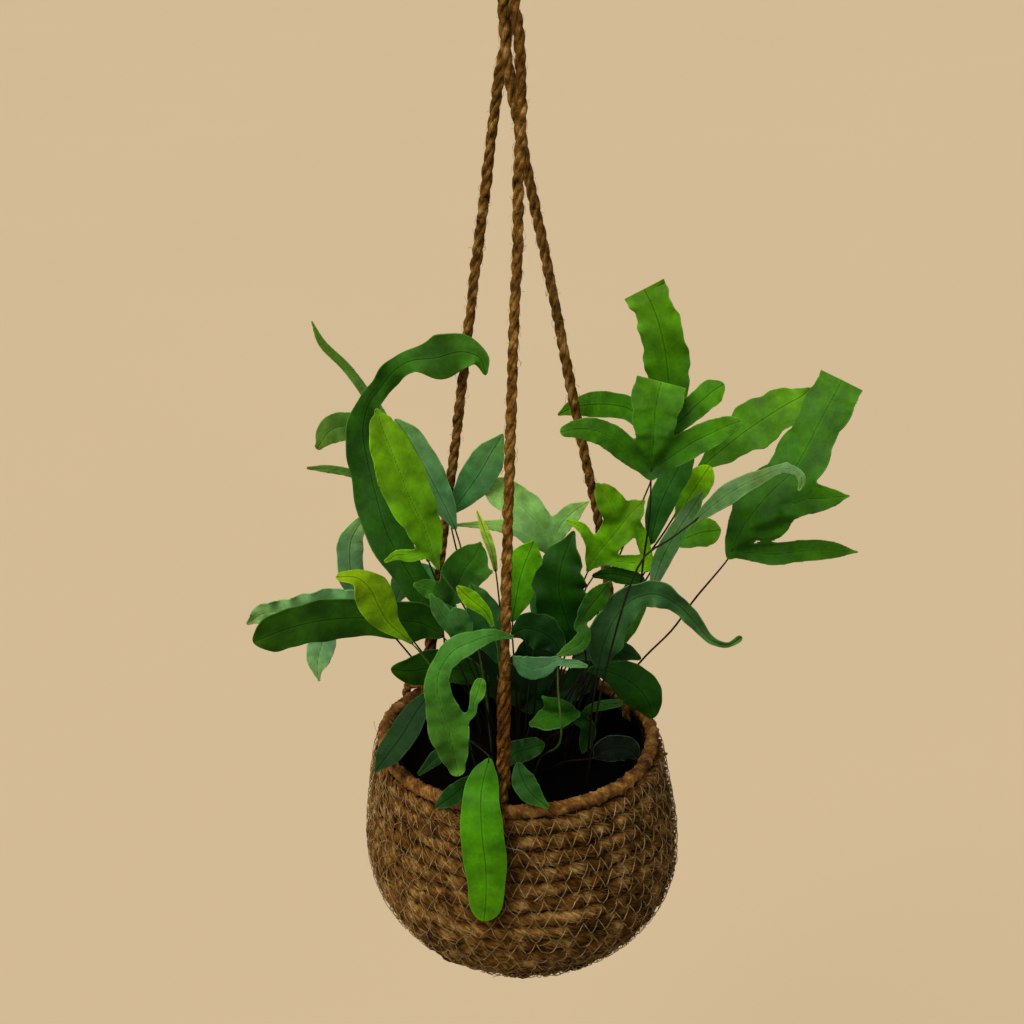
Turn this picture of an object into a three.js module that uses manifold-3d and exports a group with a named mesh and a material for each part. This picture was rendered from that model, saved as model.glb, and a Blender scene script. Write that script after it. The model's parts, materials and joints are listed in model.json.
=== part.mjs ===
// A lobed fern in a coiled fibre basket that hangs from three ropes.
// Millimetres, +Z up, +Y away from the viewer. The origin is where the hanging loop rests on its hook.
import * as THREE from "three";
import { mergeVertices } from "three/addons/utils/BufferGeometryUtils.js";
import Module from "manifold-3d";

const wasm = await Module();
wasm.setup();

// ---- Driving dimensions ----
const RIM_DROP = 545; // from the hook down to the middle of the rim's coil
const RIM_R = 92.5; // outside radius of the rim
const BASKET_H = 143; // rim's middle to underside
const BASE_R = 64; // outside radius of the underside
const BASKET_WALL = 9.5;
const COIL_ROWS = 15; // rows of the coil from rim to underside
const COIL_BULGE = 2.2; // how far each row's crest stands out of its grooves
const BASE_SWAY = 5.5; // the hand-coiled basket leans this far towards +X at its underside
const BASKET_SIDES = 24;

const LINER_WALL = 1.2; // a black sheet liner that hugs the basket's inside
const LINER_TOP_Z = -1; // below the rim's middle
const SOIL_Z = -24; // soil level, below the rim's middle
const SOIL_MOUND = 5;
const PIECE_GAP = 0.3;

const ROPE_R = 3.2;
const SPLICE_R = 4.5;
const SPLICE_LENGTH = 78;
const ROPE_SIDES = 8;
const ROPE_WAY = 0.9; // the clear way around a rope where it passes through the basket
const KNOT_RISE = 470; // the knot's underside above the rim's middle
const KNOT_X = -4.5;
const KNOT_H = 26;
const KNOT_R = 12.5;
const LOOP_WIDTH = 30; // between the centres of the loop's legs where it is widest
const LEG_APART = 4; // each of the loop's legs from the knot's middle

const BLADE_THICK = 0.8;
const STEM_R = 1.15;
const STEM_SIDES = 4;
const HOLE_R = 2.1; // to the corners of a stem's square hole in the soil
const STEM_SEAT = 14; // how deep each stem stands in the soil
const HOLE_H = 30; // a hole's cut, from its foot to clear of the mound
const ROOT_SPREAD = 0.42; // a stem's place in the soil, as a share of its blade's place over the pot
const ROOT_REACH = 62; // no stem is planted farther out than this
const ROOT_APART = 5.6; // stems stand at least about this far from each other

// ---- Where the photograph was taken from, so that a frond can be laid where it is seen ----
const EYE = new THREE.Vector3(-4, -922, 548 - RIM_DROP);
const EYE_TILT = THREE.MathUtils.degToRad(22.9); // downwards
const FOCAL_PX = 1620;
const FRAME_MID_PX = 512; // half of the 1024-pixel frame

const EYE_FORWARD = new THREE.Vector3(0, Math.cos(EYE_TILT), -Math.sin(EYE_TILT));
const EYE_UP = new THREE.Vector3(0, Math.sin(EYE_TILT), Math.cos(EYE_TILT));

// A place in the part from its place in the photograph and its depth behind the pot's middle.
function seen([x, y, deep]) {
  const ray = EYE_FORWARD.clone()
    .addScaledVector(new THREE.Vector3(1, 0, 0), (x - FRAME_MID_PX) / FOCAL_PX)
    .addScaledVector(EYE_UP, (FRAME_MID_PX - y) / FOCAL_PX);
  return EYE.clone().addScaledVector(ray, (deep - EYE.y) / ray.y);
}

// Millimetres per pixel at a place in the part.
function pixelSize(place) {
  return place.clone().sub(EYE).dot(EYE_FORWARD) / FOCAL_PX;
}

// ---- Solids ----
function toManifold(geometry) {
  const g = geometry.clone();
  g.deleteAttribute("normal");
  g.deleteAttribute("uv");
  const merged = mergeVertices(g, 1e-3);
  return new wasm.Manifold(
    new wasm.Mesh({
      numProp: 3,
      vertProperties: merged.attributes.position.array,
      triVerts: new Uint32Array(merged.index.array),
    }),
  );
}

function toGeometry(solid) {
  const mesh = solid.getMesh();
  const g = new THREE.BufferGeometry();
  g.setAttribute("position", new THREE.BufferAttribute(mesh.vertProperties, 3));
  g.setIndex(new THREE.BufferAttribute(mesh.triVerts, 1));
  g.computeVertexNormals();
  return g;
}

function joined(geometries) {
  return geometries.map(toManifold).reduce((sum, solid) => sum.add(solid));
}

function smoothCurve(points) {
  return new THREE.CatmullRomCurve3(points, false, "centripetal");
}

// A way through a list of places, so that a bar gets one section at each of them.
class Way extends THREE.Curve {
  constructor(places) {
    super();
    this.places = places;
  }

  getPointAt(share) {
    return this.places[Math.round(share * (this.places.length - 1))].clone();
  }

  getTangentAt(share) {
    const last = this.places.length - 1;
    const i = Math.round(share * last);
    const before = this.places[Math.max(i - 1, 0)];
    const after = this.places[Math.min(i + 1, last)];
    return after.clone().sub(before).normalize();
  }
}

// A round bar of few sides with a section at each place.
function bar(places, radius, sides) {
  const section = new THREE.Shape();
  for (let i = 0; i < sides; i++) {
    const a = (2 * Math.PI * i) / sides;
    section[i ? "lineTo" : "moveTo"](radius * Math.cos(a), radius * Math.sin(a));
  }
  section.closePath();
  return new THREE.ExtrudeGeometry(section, {
    steps: places.length - 1,
    extrudePath: new Way(places),
    bevelEnabled: false,
    curveSegments: 1,
  });
}

function eased(points, steps) {
  return smoothCurve(points).getSpacedPoints(steps);
}

// A closed outline of [radius, height] turned about the vertical.
function turned(outline, sides) {
  const closed = [...outline, outline[0]].map(([r, z]) => new THREE.Vector2(r, z));
  return new THREE.LatheGeometry(closed, sides).rotateX(Math.PI / 2).translate(0, 0, -RIM_DROP);
}

const part = new THREE.Group();
part.name = "hanging_fern";

function addNode(name, geometry, colour) {
  const material = new THREE.MeshStandardMaterial({ color: colour, roughness: 0.7 });
  const mesh = new THREE.Mesh(geometry, material);
  mesh.name = name;
  part.add(mesh);
}

// ---- Basket: rows of one coil from the rim to the underside ----
const basketCurve = new THREE.CubicBezierCurve(
  new THREE.Vector2(RIM_R, 0),
  new THREE.Vector2(RIM_R + 11.5, -BASKET_H * 0.5),
  new THREE.Vector2(RIM_R + 24, -BASKET_H * 0.735),
  new THREE.Vector2(BASE_R, -BASKET_H),
);

function sway(geometry) {
  const p = geometry.attributes.position;
  for (let i = 0; i < p.count; i++) {
    const below = -(p.getZ(i) + RIM_DROP) / BASKET_H;
    p.setX(i, p.getX(i) + BASE_SWAY * THREE.MathUtils.clamp(below, 0, 1));
  }
  return geometry;
}

// The basket's inside from the rim down to its floor, drawn in by a distance.
function insideWall(drawnIn) {
  const floor = -BASKET_H + BASKET_WALL + drawnIn;
  const wall = [[RIM_R - BASKET_WALL - drawnIn, 0]];
  for (const share of [0.16, 0.5, 0.8]) {
    const place = basketCurve.getPointAt(share);
    const along = basketCurve.getTangentAt(share);
    const depth = BASKET_WALL + drawnIn;
    wall.push([place.x + along.y * depth, place.y - along.x * depth]);
  }
  return [...wall, [BASE_R - drawnIn, floor], [0, floor]];
}

function basketOutline() {
  const outline = [];
  for (let row = 0; row < COIL_ROWS; row++) {
    const crest = basketCurve.getPointAt(row / COIL_ROWS);
    const groove = basketCurve.getPointAt((row + 0.5) / COIL_ROWS);
    const away = basketCurve.getTangentAt((row + 0.5) / COIL_ROWS);
    outline.push([crest.x, crest.y]);
    outline.push([groove.x + away.y * COIL_BULGE, groove.y - away.x * COIL_BULGE]);
  }
  return [
    [RIM_R - BASKET_WALL / 2, BASKET_WALL / 2],
    ...outline,
    [BASE_R, -BASKET_H],
    [0, -BASKET_H],
    ...insideWall(0).reverse(),
  ].reverse();
}

// ---- Ropes ----
const RIM_COIL_R = RIM_R - BASKET_WALL / 2;
const EYE_BEND_R = BASKET_WALL / 2 + ROPE_R + PIECE_GAP; // the rope's bend around the rim's coil
const KNOT_FOOT_Z = KNOT_RISE - RIM_DROP;
const ROPE_IN_KNOT = 8;

// turn is where a rope meets the rim; seat is its place in the knot, from the knot's middle.
// Each route is a list of [x, y, deep] from the knot down, as for a frond.
const ropes = [
  {
    name: "rope_front",
    turn: 263,
    seat: [3.5, -2.2],
    route: [[514, 4, -5], [517, 22, -6], [520, 48, -8], [521, 80, -9], [521, 115, -12], [520, 150, -15],
      [518, 190, -19], [518, 240, -24], [514, 328, -34], [510, 450, -48], [505, 640, -68]],
  },
  {
    name: "rope_back_left",
    turn: 143,
    seat: [0, 4.1],
    route: [[511, 4, 6], [509, 24, 7], [505, 48, 8], [500, 72, 7.5], [495.5, 104, 8.5], [491, 140, 9.5],
      [486, 184, 11], [475, 272, 15], [463.5, 370, 21], [454.5, 450, 27], [447, 505, 31]],
  },
  {
    name: "rope_back_right",
    turn: 24,
    seat: [-3.5, -2.2],
    route: [[503, 4, -1], [504, 24, -0.5], [506, 48, 0], [509, 72, -0.5], [512, 92, 0.5], [518, 120, 2],
      [524, 155, 4], [532, 194, 6], [542, 240, 8], [555, 304, 11], [567.5, 370, 14], [583.5, 450, 18],
      [598.5, 520, 22]],
  },
];

// A place on a rope's bend around the rim: 0 is outside, 90 over the top, 180 inside.
function onRimBend(turn, angle) {
  const t = THREE.MathUtils.degToRad(turn);
  const a = THREE.MathUtils.degToRad(angle);
  const r = RIM_COIL_R + EYE_BEND_R * Math.cos(a);
  return new THREE.Vector3(r * Math.cos(t), r * Math.sin(t), EYE_BEND_R * Math.sin(a) - RIM_DROP);
}

function rope({ turn, seat, route }) {
  const inside = onRimBend(turn, 172);
  const inKnot = (z) => new THREE.Vector3(KNOT_X + seat[0], seat[1], KNOT_FOOT_Z + z);
  const places = route.map(seen);
  const up = places[places.length - 1].clone().sub(inside).normalize();
  const above = (rise) => inside.clone().addScaledVector(up, rise);
  const down = eased([inKnot(-2), ...places, above(SPLICE_LENGTH), above(24)], 25);
  const standing = bar([inKnot(ROPE_IN_KNOT - PIECE_GAP), ...down], ROPE_R, ROPE_SIDES);
  const splice = bar([above(6), above(SPLICE_LENGTH)], SPLICE_R, ROPE_SIDES);
  const bend = [200, 236, 272, 308, 344, 20, 56, 84].map((angle) => onRimBend(turn, angle));
  const eye = bar([above(14), inside, ...bend], ROPE_R, ROPE_SIDES);
  const tailPlaces = [onRimBend(turn, 80), onRimBend(turn, 112).addScaledVector(up, 3), above(18)];
  const tail = bar(tailPlaces, ROPE_R * 0.94, ROPE_SIDES);
  return joined([standing, splice, eye, tail]);
}

// The clear way that a rope needs around the rim's coil.
function ropeWay(turn) {
  const ring = [];
  for (let a = 0; a < 360; a += 30) {
    ring.push(onRimBend(turn, a));
  }
  const curve = new THREE.CatmullRomCurve3(ring, true);
  const section = new THREE.Shape();
  for (let i = 0; i < ROPE_SIDES; i++) {
    const a = (2 * Math.PI * (i + 0.5)) / ROPE_SIDES;
    const r = ROPE_R + ROPE_WAY;
    section[i ? "lineTo" : "moveTo"](r * Math.cos(a), r * Math.sin(a));
  }
  section.closePath();
  const options = { steps: 14, extrudePath: curve, bevelEnabled: false };
  return toManifold(new THREE.ExtrudeGeometry(section, options));
}

function clearOfRopes(geometry) {
  return ropes.reduce((solid, { turn }) => solid.subtract(ropeWay(turn)), toManifold(geometry));
}

// ---- Knot and loop ----
function knotOutline() {
  const wraps = 4;
  const outline = [[0, 0]];
  for (let i = 0; i < wraps; i++) {
    const low = (KNOT_H * i) / wraps;
    const high = (KNOT_H * (i + 1)) / wraps;
    const belly = KNOT_R - 1.2 * Math.abs(i - 1.5);
    outline.push([belly - 2.4, low + (i ? 0.1 : 0)]);
    outline.push([belly, low + (high - low) * 0.3]);
    outline.push([belly, low + (high - low) * 0.7]);
  }
  outline.push([KNOT_R - 4.2, KNOT_H]);
  outline.push([0, KNOT_H]);
  return outline;
}

function socket(x, y, low, high) {
  const drill = new THREE.CylinderGeometry(ROPE_R + 0.35, ROPE_R + 0.35, high - low, ROPE_SIDES);
  return toManifold(drill.rotateX(Math.PI / 2).translate(x, y, (low + high) / 2));
}

function topKnot() {
  const body = turned(knotOutline(), 14).translate(KNOT_X, 0, RIM_DROP + KNOT_FOOT_Z);
  let solid = toManifold(body);
  for (const { seat } of ropes) {
    const x = KNOT_X + seat[0];
    solid = solid.subtract(socket(x, seat[1], KNOT_FOOT_Z - 1, KNOT_FOOT_Z + ROPE_IN_KNOT));
  }
  const crown = KNOT_FOOT_Z + KNOT_H;
  for (const side of [-1, 1]) {
    const x = KNOT_X + side * LEG_APART;
    solid = solid.subtract(socket(x, 0, crown - ROPE_IN_KNOT, crown + 1));
  }
  return solid;
}

function hangingLoop() {
  const crown = KNOT_FOOT_Z + KNOT_H;
  const legX = (s) => KNOT_X + s * LEG_APART;
  const half = LOOP_WIDTH / 2;
  const top = ROPE_R; // the inside of the loop's top rests on the hook, at the origin
  const rise = top - crown;
  const side = (s) => [
    [legX(s), crown + 1.5],
    [legX(s) * 0.7 + s * half * 0.3, crown + rise * 0.2],
    [s * half, crown + rise * 0.6],
    [s * half * 0.72, crown + rise * 0.89],
  ];
  const points = [...side(-1), [0, top], ...side(1).reverse()];
  const bow = eased(points.map(([x, z]) => new THREE.Vector3(x, 0, z)), 20);
  const foot = crown - ROPE_IN_KNOT + PIECE_GAP;
  const ends = [-1, 1].map((s) => new THREE.Vector3(legX(s), 0, foot));
  return bar([ends[0], ...bow, ends[1]], ROPE_R, ROPE_SIDES);
}

// ---- Liner and soil ----
function linerOutline() {
  const outer = insideWall(PIECE_GAP);
  const inner = insideWall(PIECE_GAP + LINER_WALL);
  outer[0][1] = LINER_TOP_Z;
  inner[0][1] = LINER_TOP_Z;
  return [...outer, ...inner.reverse()].reverse();
}

function soil(roots) {
  const drawnIn = 2 * PIECE_GAP + LINER_WALL;
  const whole = insideWall(drawnIn);
  const wall = whole.filter(([, z]) => z < SOIL_Z);
  const above = whole[whole.length - wall.length - 1];
  const share = (SOIL_Z - above[1]) / (wall[0][1] - above[1]);
  const edge = THREE.MathUtils.lerp(above[0], wall[0][0], share);
  const mound = [0, 0.34, 0.67].map((out) => {
    return [edge * out, SOIL_Z + SOIL_MOUND * Math.cos((out * Math.PI) / 2)];
  });
  const body = sway(turned([...mound, [edge, SOIL_Z], ...wall].reverse(), BASKET_SIDES));
  const p = body.attributes.position;
  for (let i = 0; i < p.count; i++) {
    const [x, y, z] = [p.getX(i), p.getY(i), p.getZ(i)];
    if (z > SOIL_Z - RIM_DROP + 0.01) {
      p.setZ(i, z + 1.3 * Math.sin(x * 0.21 + 1) * Math.cos(y * 0.17 + 2));
    }
  }
  const holeFoot = SOIL_Z - STEM_SEAT - PIECE_GAP - RIM_DROP;
  return roots.reduce((solid, [x, y]) => {
    const hole = new THREE.CylinderGeometry(HOLE_R, HOLE_R, HOLE_H, 4).rotateX(Math.PI / 2);
    return solid.subtract(toManifold(hole.translate(x, y, holeFoot + HOLE_H / 2)));
  }, toManifold(body));
}

// ---- Fronds ----
// A route runs along a blade's midrib from base to tip. Each point is [x, y, deep, half]: where it is seen
// in the photograph in pixels, its depth in mm, and the blade's half width there in pixels.
// roll turns a blade about its midrib, fold turns its edges away (+) or forward, both in degrees.
// wave is [height in mm, ripples along the blade]. stem lists places between the blade and the soil.
// A lobe leaves its blade at a share of the blade's points, and its depths are counted from there.
// root is where the stem stands in the soil, [x, y] in mm, if that isn't simply under the blade.
// cut marks a blade whose tip is bent back out of sight, so that it seems cut off square.
const fronds = [
  {
    name: "frond_left_arch",
    route: [[441, 624, 6, 3], [428, 602, 8, 12], [408, 572, 10, 18], [388, 535, 16, 20], [375, 492, 26, 21],
      [367, 458, 30, 21], [363, 430, 30, 16], [369, 404, 28, 12], [381, 387, 25, 11], [394, 371, 21, 11],
      [411, 361, 17, 12], [436, 358, 12, 21], [462, 352, 9, 17], [480, 358, 8, 10], [486, 375, 8, 2]],
    stem: [[450, 668, 18]],
    root: [-17, 14],
    roll: 14,
    wave: [2.4, 5],
    colour: "#326416",
  },
  {
    name: "frond_left_bright",
    route: [[438, 568, -40, 2], [432, 550, -38, 9], [424, 527, -35, 18], [411, 500, -31, 22],
      [394, 457, -23, 23], [382, 427, -14, 12], [377, 410, -10, 2]],
    roll: -12,
    wave: [1.4, 3],
    colour: "#5d9212",
    stem: [[469, 616, -30]],
    lobes: [{ at: 0.16, route: [[412, 556, 2, 6], [398, 555, 1, 5], [386, 561, -2, 2]] }],
  },
  {
    name: "frond_left_back",
    route: [[428, 560, 22, 2], [408, 505, 34, 10], [392, 450, 50, 10], [376, 410, 62, 7], [362, 388, 70, 5],
      [345, 366, 77, 4.5], [322, 343, 78, 4], [312, 322, 79, 1]],
    colour: "#4a7426",
    lobes: [
      { at: 0.34, route: [[362, 428, 0, 12], [345, 426, -2, 14], [330, 431, -4, 13], [319, 446, -8, 4]] },
      { at: 0.22, route: [[375, 484, 0, 5], [350, 473, 0, 4], [328, 469, 0, 4], [308, 468, 1, 1.5]] },
    ],
  },
  {
    name: "frond_left_grey",
    route: [[364, 602, 46, 3], [353, 582, 46, 12], [350, 560, 47, 13], [351, 541, 48, 12.5],
      [358, 527, 48, 8], [367, 514, 48, 3]],
    roll: 20,
    colour: "#6b9a5c",
  },
  {
    name: "frond_left_lime",
    route: [[413, 644, -34, 1.5], [400, 633, -36, 6], [388, 622, -38, 12], [378, 605, -42, 19],
      [370, 589, -45, 18], [357, 578, -48, 9], [336, 577, -52, 4]],
    roll: 15,
    fold: 12,
    colour: "#7fae22",
  },
  {
    name: "frond_left_dark",
    route: [[444, 637, -8, 4], [424, 624, -8, 18], [393, 620, -10, 18], [355, 618, -14, 19], [320, 621, -18, 20],
      [290, 628, -22, 20], [268, 636, -25, 16], [253, 642, -28, 9]],
    roll: -28,
    wave: [1.2, 3],
    colour: "#2b560e",
  },
  {
    name: "frond_left_wavy",
    route: [[400, 626, 24, 3], [370, 608, 26, 10], [345, 601, 27, 12], [320, 603, 28, 12], [300, 607, 28, 11],
      [280, 611, 28, 10], [262, 614, 28, 9], [248, 623, 28, 2]],
    roll: 24,
    wave: [2.6, 6],
    colour: "#6c9a5a",
    lobes: [{ at: 0.36, route: [[323, 640, -2, 13], [319, 655, -4, 13], [317, 668, -6, 6], [319, 680, -8, 1.5]] }],
  },
  {
    name: "frond_left_blue",
    route: [[456, 530, 6, 2], [448, 512, 8, 9], [437, 490, 10, 14], [423, 464, 12, 16], [408, 437, 14, 13],
      [395, 419, 15, 3]],
    roll: -16,
    colour: "#588f56",
  },
  {
    name: "frond_mid_ovate",
    route: [[450, 514, 24, 3], [463, 497, 24, 12], [480, 473, 22, 18], [492, 452, 21, 14], [503, 434, 20, 2]],
    roll: 18,
    colour: "#5c9458",
  },
  {
    name: "frond_mid_young",
    route: [[496, 572, 4, 2], [492, 552, 4, 4], [485, 532, 5, 4.5], [477, 511, 7, 1]],
    wave: [0.8, 5],
    colour: "#86ae30",
  },
  {
    name: "frond_mid_dark",
    route: [[452, 602, -10, 4], [457, 586, -10, 16], [464, 570, -9, 20], [474, 557, -7, 13], [480, 544, -5, 2]],
    roll: -20,
    colour: "#3c7420",
    lobes: [
      { at: 0.45, route: [[478, 573, 0, 9], [491, 572, 0, 2]] },
      { at: 0.15, route: [[440, 594, -8, 8], [428, 588, -10, 9], [416, 585, -12, 3]] },
    ],
  },
  {
    name: "frond_mid_lime",
    route: [[494, 628, -52, 1.5], [486, 612, -52, 5], [472, 600, -51, 8.5], [463, 592, -50, 6], [457, 586, -48, 2]],
    roll: -25,
    colour: "#6ea51c",
  },
  {
    name: "frond_front_droop",
    route: [[512, 637, -78, 2], [493, 635, -82, 6], [474, 641, -85, 10], [455, 650, -86, 12], [442, 666, -86, 11],
      [437, 684, -86, 12], [441, 706, -84, 16], [448, 728, -79, 19], [453, 750, -75, 16], [457, 768, -71, 8]],
    roll: -12,
    wave: [1.2, 4],
    colour: "#467f2a",
    stem: [[524, 640, -64]],
    lobes: [{ at: 0.78, route: [[471, 714, -3, 4], [474, 702, -5, 4.5], [478, 692, -6, 7.5], [480, 684, -6, 6]] }],
  },
  {
    name: "frond_rim_left",
    route: [[490, 682, 8, 3], [471, 673, 7, 12], [450, 668, 6, 15], [430, 668, 5, 18], [410, 671, 3, 13],
      [391, 669, 0, 5]],
    roll: -34,
    colour: "#2d5c16",
  },
  {
    name: "frond_rim_left_low",
    route: [[434, 690, -34, 3], [419, 708, -42, 11], [401, 737, -52, 14], [386, 757, -58, 11], [375, 772, -62, 2]],
    roll: 22,
    colour: "#1c4a10",
  },
  {
    name: "frond_inner_left",
    route: [[452, 744, -46, 2], [437, 757, -52, 7], [418, 775, -56, 2]],
    roll: -20,
    colour: "#2c5526",
  },
  {
    name: "frond_front_hanging",
    route: [[490, 758, -78, 3], [485, 774, -85, 13], [481, 797, -98, 19], [482, 832, -107, 21],
      [486, 870, -108, 21], [486, 903, -107, 17], [484, 921, -106, 12]],
    roll: 8,
    fold: 8,
    wave: [0.8, 2],
    colour: "#549312",
    stem: [[470, 741, -60]],
  },
  {
    name: "frond_front_rim_left",
    route: [[476, 775, -74, 3], [462, 788, -86, 9], [448, 799, -94, 9], [436, 807, -98, 3]],
    roll: 12,
    colour: "#1d4a0e",
  },
  {
    name: "frond_front_rim_right",
    route: [[518, 762, -82, 3], [522, 778, -88, 11], [531, 793, -94, 11], [549, 808, -100, 2]],
    root: [2, -47],
    roll: 16,
    colour: "#1d480f",
  },
  {
    name: "frond_front_curl",
    route: [[506, 765, -52, 4], [514, 754, -49, 12], [525, 750, -46, 11], [537, 746, -44, 9], [545, 744, -42, 3]],
    roll: -20,
    colour: "#1f4c0d",
  },
  {
    name: "frond_front_folded",
    route: [[577, 714, -40, 3], [562, 715, -46, 11], [548, 719, -49, 11], [532, 724, -52, 3]],
    roll: -45,
    colour: "#336a1a",
    lobes: [{ at: 0.1, route: [[565, 708, -9, 6], [555, 706, -10, 8], [543, 697, -11, 1.5]] }],
  },
  {
    name: "frond_front_cross",
    route: [[556, 660, -62, 3], [545, 666, -65, 9], [531, 668, -67, 11], [519, 662, -68, 6], [514, 657, -68, 1.5]],
    roll: 24,
    colour: "#4f8a50",
    stem: [[558, 690, -60], [560, 742, -54]],
    lobes: [{ at: 0.02, route: [[566, 663, 0, 4], [577, 664, 1, 4], [586, 666, 2, 2]] }],
  },
  {
    name: "frond_rim_right",
    route: [[588, 669, -22, 2], [605, 671, -20, 9], [622, 677, -16, 17], [638, 688, -10, 20],
      [648, 702, -4, 16], [653, 718, 2, 5]],
    root: [29, -16],
    roll: 20,
    fold: 10,
    colour: "#22550f",
  },
  {
    name: "frond_right_curly",
    route: [[598, 668, -50, 6], [603, 646, -51, 17], [614, 620, -49, 17], [632, 600, -48, 14], [655, 594, -47, 13],
      [678, 605, -46, 9], [695, 622, -45, 7], [711, 640, -46, 4], [728, 645, -45, 2.5], [742, 637, -42, 3.5]],
    root: [44, -28],
    roll: 26,
    fold: -14,
    wave: [2.4, 6],
    colour: "#3f6c3a",
  },
  {
    name: "frond_centre_dark",
    route: [[577, 648, -20, 8], [566, 618, -22, 25], [559, 588, -23, 26], [563, 560, -22, 19], [574, 531, -16, 2]],
    roll: -24,
    fold: -10,
    wave: [2.6, 4],
    colour: "#1a460c",
  },
  {
    name: "frond_centre_lobed",
    route: [[588, 570, 4, 2], [596, 556, 3, 10], [607, 543, 2, 14], [620, 527, 1, 15], [632, 512, 3, 11],
      [644, 501, 6, 1.5]],
    roll: 14,
    wave: [1, 3],
    colour: "#5a9210",
    lobes: [
      { at: 0.6, route: [[615, 511, -1, 13], [607, 497, 0, 12], [598, 485, 2, 2.5]] },
      { at: 0.16, route: [[590, 542, 2, 5], [582, 528, 4, 5], [568, 521, 7, 2]] },
      { at: 0.14, route: [[612, 561, -4, 5], [640, 564, -6, 8], [666, 569, -8, 1]] },
      { at: 0.72, route: [[640, 532, -2, 6], [645, 548, -3, 6], [652, 562, -4, 2]] },
    ],
  },
  {
    name: "frond_hand",
    route: [[651, 473, -22, 3], [652, 455, -26, 10], [654, 437, -28, 18], [655, 414, -28, 21.5],
      [658, 396, -24, 25], [661.5, 382, -15, 24.5]],
    wave: [1.2, 4],
    colour: "#3f780e",
    stem: [[650, 510, -20], [644, 556, -18], [634, 610, -14]],
    lobes: [
      { at: 0.02, route: [[632, 456, -2, 11], [612, 438, -5, 13], [593, 430, -8, 12], [576, 429, -11, 9],
        [566, 431, -13, 6]] },
      { at: 0.02, route: [[672, 456, -2, 12], [692, 443, -5, 14.5], [712, 433, -8, 13], [727, 426, -11, 10],
        [735, 423, -13, 6]] },
      { at: 0.35, route: [[634, 412, 14, 11], [612, 405, 32, 13], [588, 405, 50, 12], [570, 409, 60, 7],
        [558, 415, 64, 1.5]] },
      { at: 0.35, route: [[684, 417, 8, 11], [698, 404, 12, 12.5], [712, 392, 17, 13], [724, 384, 20, 8]] },
    ],
    cut: true,
  },
  {
    name: "frond_top_tall",
    route: [[664, 420, 30, 3], [669, 398, 30, 16], [668, 373, 29, 22], [665, 350, 27, 22], [659, 324, 26, 21],
      [652, 305, 28, 19.5], [644, 289, 32, 22]],
    roll: -15,
    wave: [1.2, 4],
    colour: "#4f8a18",
    stem: [[659, 480, 26], [640, 560, 18]],
    cut: true,
  },
  {
    name: "frond_right_tall",
    route: [[730, 556, -12, 3], [738, 536, -14, 12], [753, 513, -15, 22], [771, 492, -12, 25], [791, 473, -10, 23.5],
      [806, 449, -6, 25.5], [820, 421, 0, 22], [834, 396, 6, 24], [842, 380, 12, 22]],
    roll: 18,
    wave: [1.4, 4],
    colour: "#346808",
    stem: [[694, 600, -10], [672, 630, -9], [643, 659, -8]],
    lobes: [
      { at: 0.03, route: [[755, 553, 0, 9], [778, 554, 1, 11], [800, 551, 2, 10.5], [830, 550, 4, 9],
        [857, 552, 5, 1]] },
      { at: 0.3, route: [[790, 504, -4, 14], [808, 499, -7, 15], [828, 498, -8, 10.5], [849, 496, -9, 1]] },
      { at: 0.16, route: [[768, 531, 0, 9], [781, 527, -1, 7], [791, 521, -2, 1.5]] },
    ],
    cut: true,
  },
  {
    name: "frond_right_broad",
    route: [[698, 470, 41, 3], [716, 455, 39, 12], [738, 437, 38, 20], [762, 420, 37, 24], [786, 405, 36, 18],
      [802, 396, 34, 10], [811, 388, 32, 2]],
    roll: -12,
    wave: [1.6, 4],
    colour: "#548c20",
    stem: [[672, 520, 48]],
    root: [34, 37],
  },
  {
    name: "frond_right_curved",
    route: [[696, 520, -38, 3], [710, 508, -40, 7], [727, 495, -41, 10], [745, 484, -42, 9], [765, 475, -41, 6],
      [787, 464, -40, 1]],
    roll: 30,
    fold: -16,
    colour: "#5a8048",
    stem: [[666, 542, -50], [644, 557, -60]],
    root: [42, -51],
    lobes: [{ at: 0.84, route: [[786, 469, -2, 4], [797, 472, -3, 4], [802, 480, -4, 4], [799, 490, -4, 1.5]] }],
  },
  {
    name: "frond_right_round",
    route: [[666, 541, 12, 3], [683, 539, 12, 9], [700, 533, 11, 14], [713, 531, 10, 13], [721, 530, 9, 9]],
    roll: -24,
    colour: "#4f8c0a",
  },
  {
    name: "frond_right_blue",
    route: [[650, 545, 14, 4], [657, 515, 16, 12], [667, 490, 18, 14], [679, 467, 20, 14], [690, 447, 20, 8]],
    roll: 16,
    colour: "#3f7c2c",
  },
  {
    name: "frond_right_lime",
    route: [[676, 530, 22, 3], [686, 503, 27, 10], [698, 484, 30, 14], [710, 466, 31, 10]],
    colour: "#7aae22",
  },
  {
    name: "frond_right_strap",
    route: [[652, 590, -13, 3], [661, 562, -12, 9], [675, 535, -12, 9], [692, 509, -11, 8], [703, 492, -11, 2]],
    roll: -30,
    colour: "#4d7c48",
  },
  {
    name: "frond_centre_low",
    route: [[592, 576, 0, 2], [606, 574, 0, 6], [622, 575, 1, 9], [645, 583, 2, 6]],
    roll: 24,
    colour: "#24520e",
  },
  {
    name: "frond_mid_lobed",
    route: [[553, 551, 20, 3], [541, 529, 21, 14], [521, 506, 24, 17], [500, 492, 27, 14], [484, 489, 29, 3]],
    roll: -10,
    wave: [1.2, 3],
    colour: "#7cae5c",
    lobes: [
      { at: 0.03, route: [[560, 526, 2, 10], [572, 513, 5, 9], [588, 502, 9, 1.5]] },
      { at: 0.03, route: [[535, 539, -4, 9], [515, 528, -5, 8], [490, 525, -5, 5], [456, 525, -4, 1.5]] },
    ],
  },
  {
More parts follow.
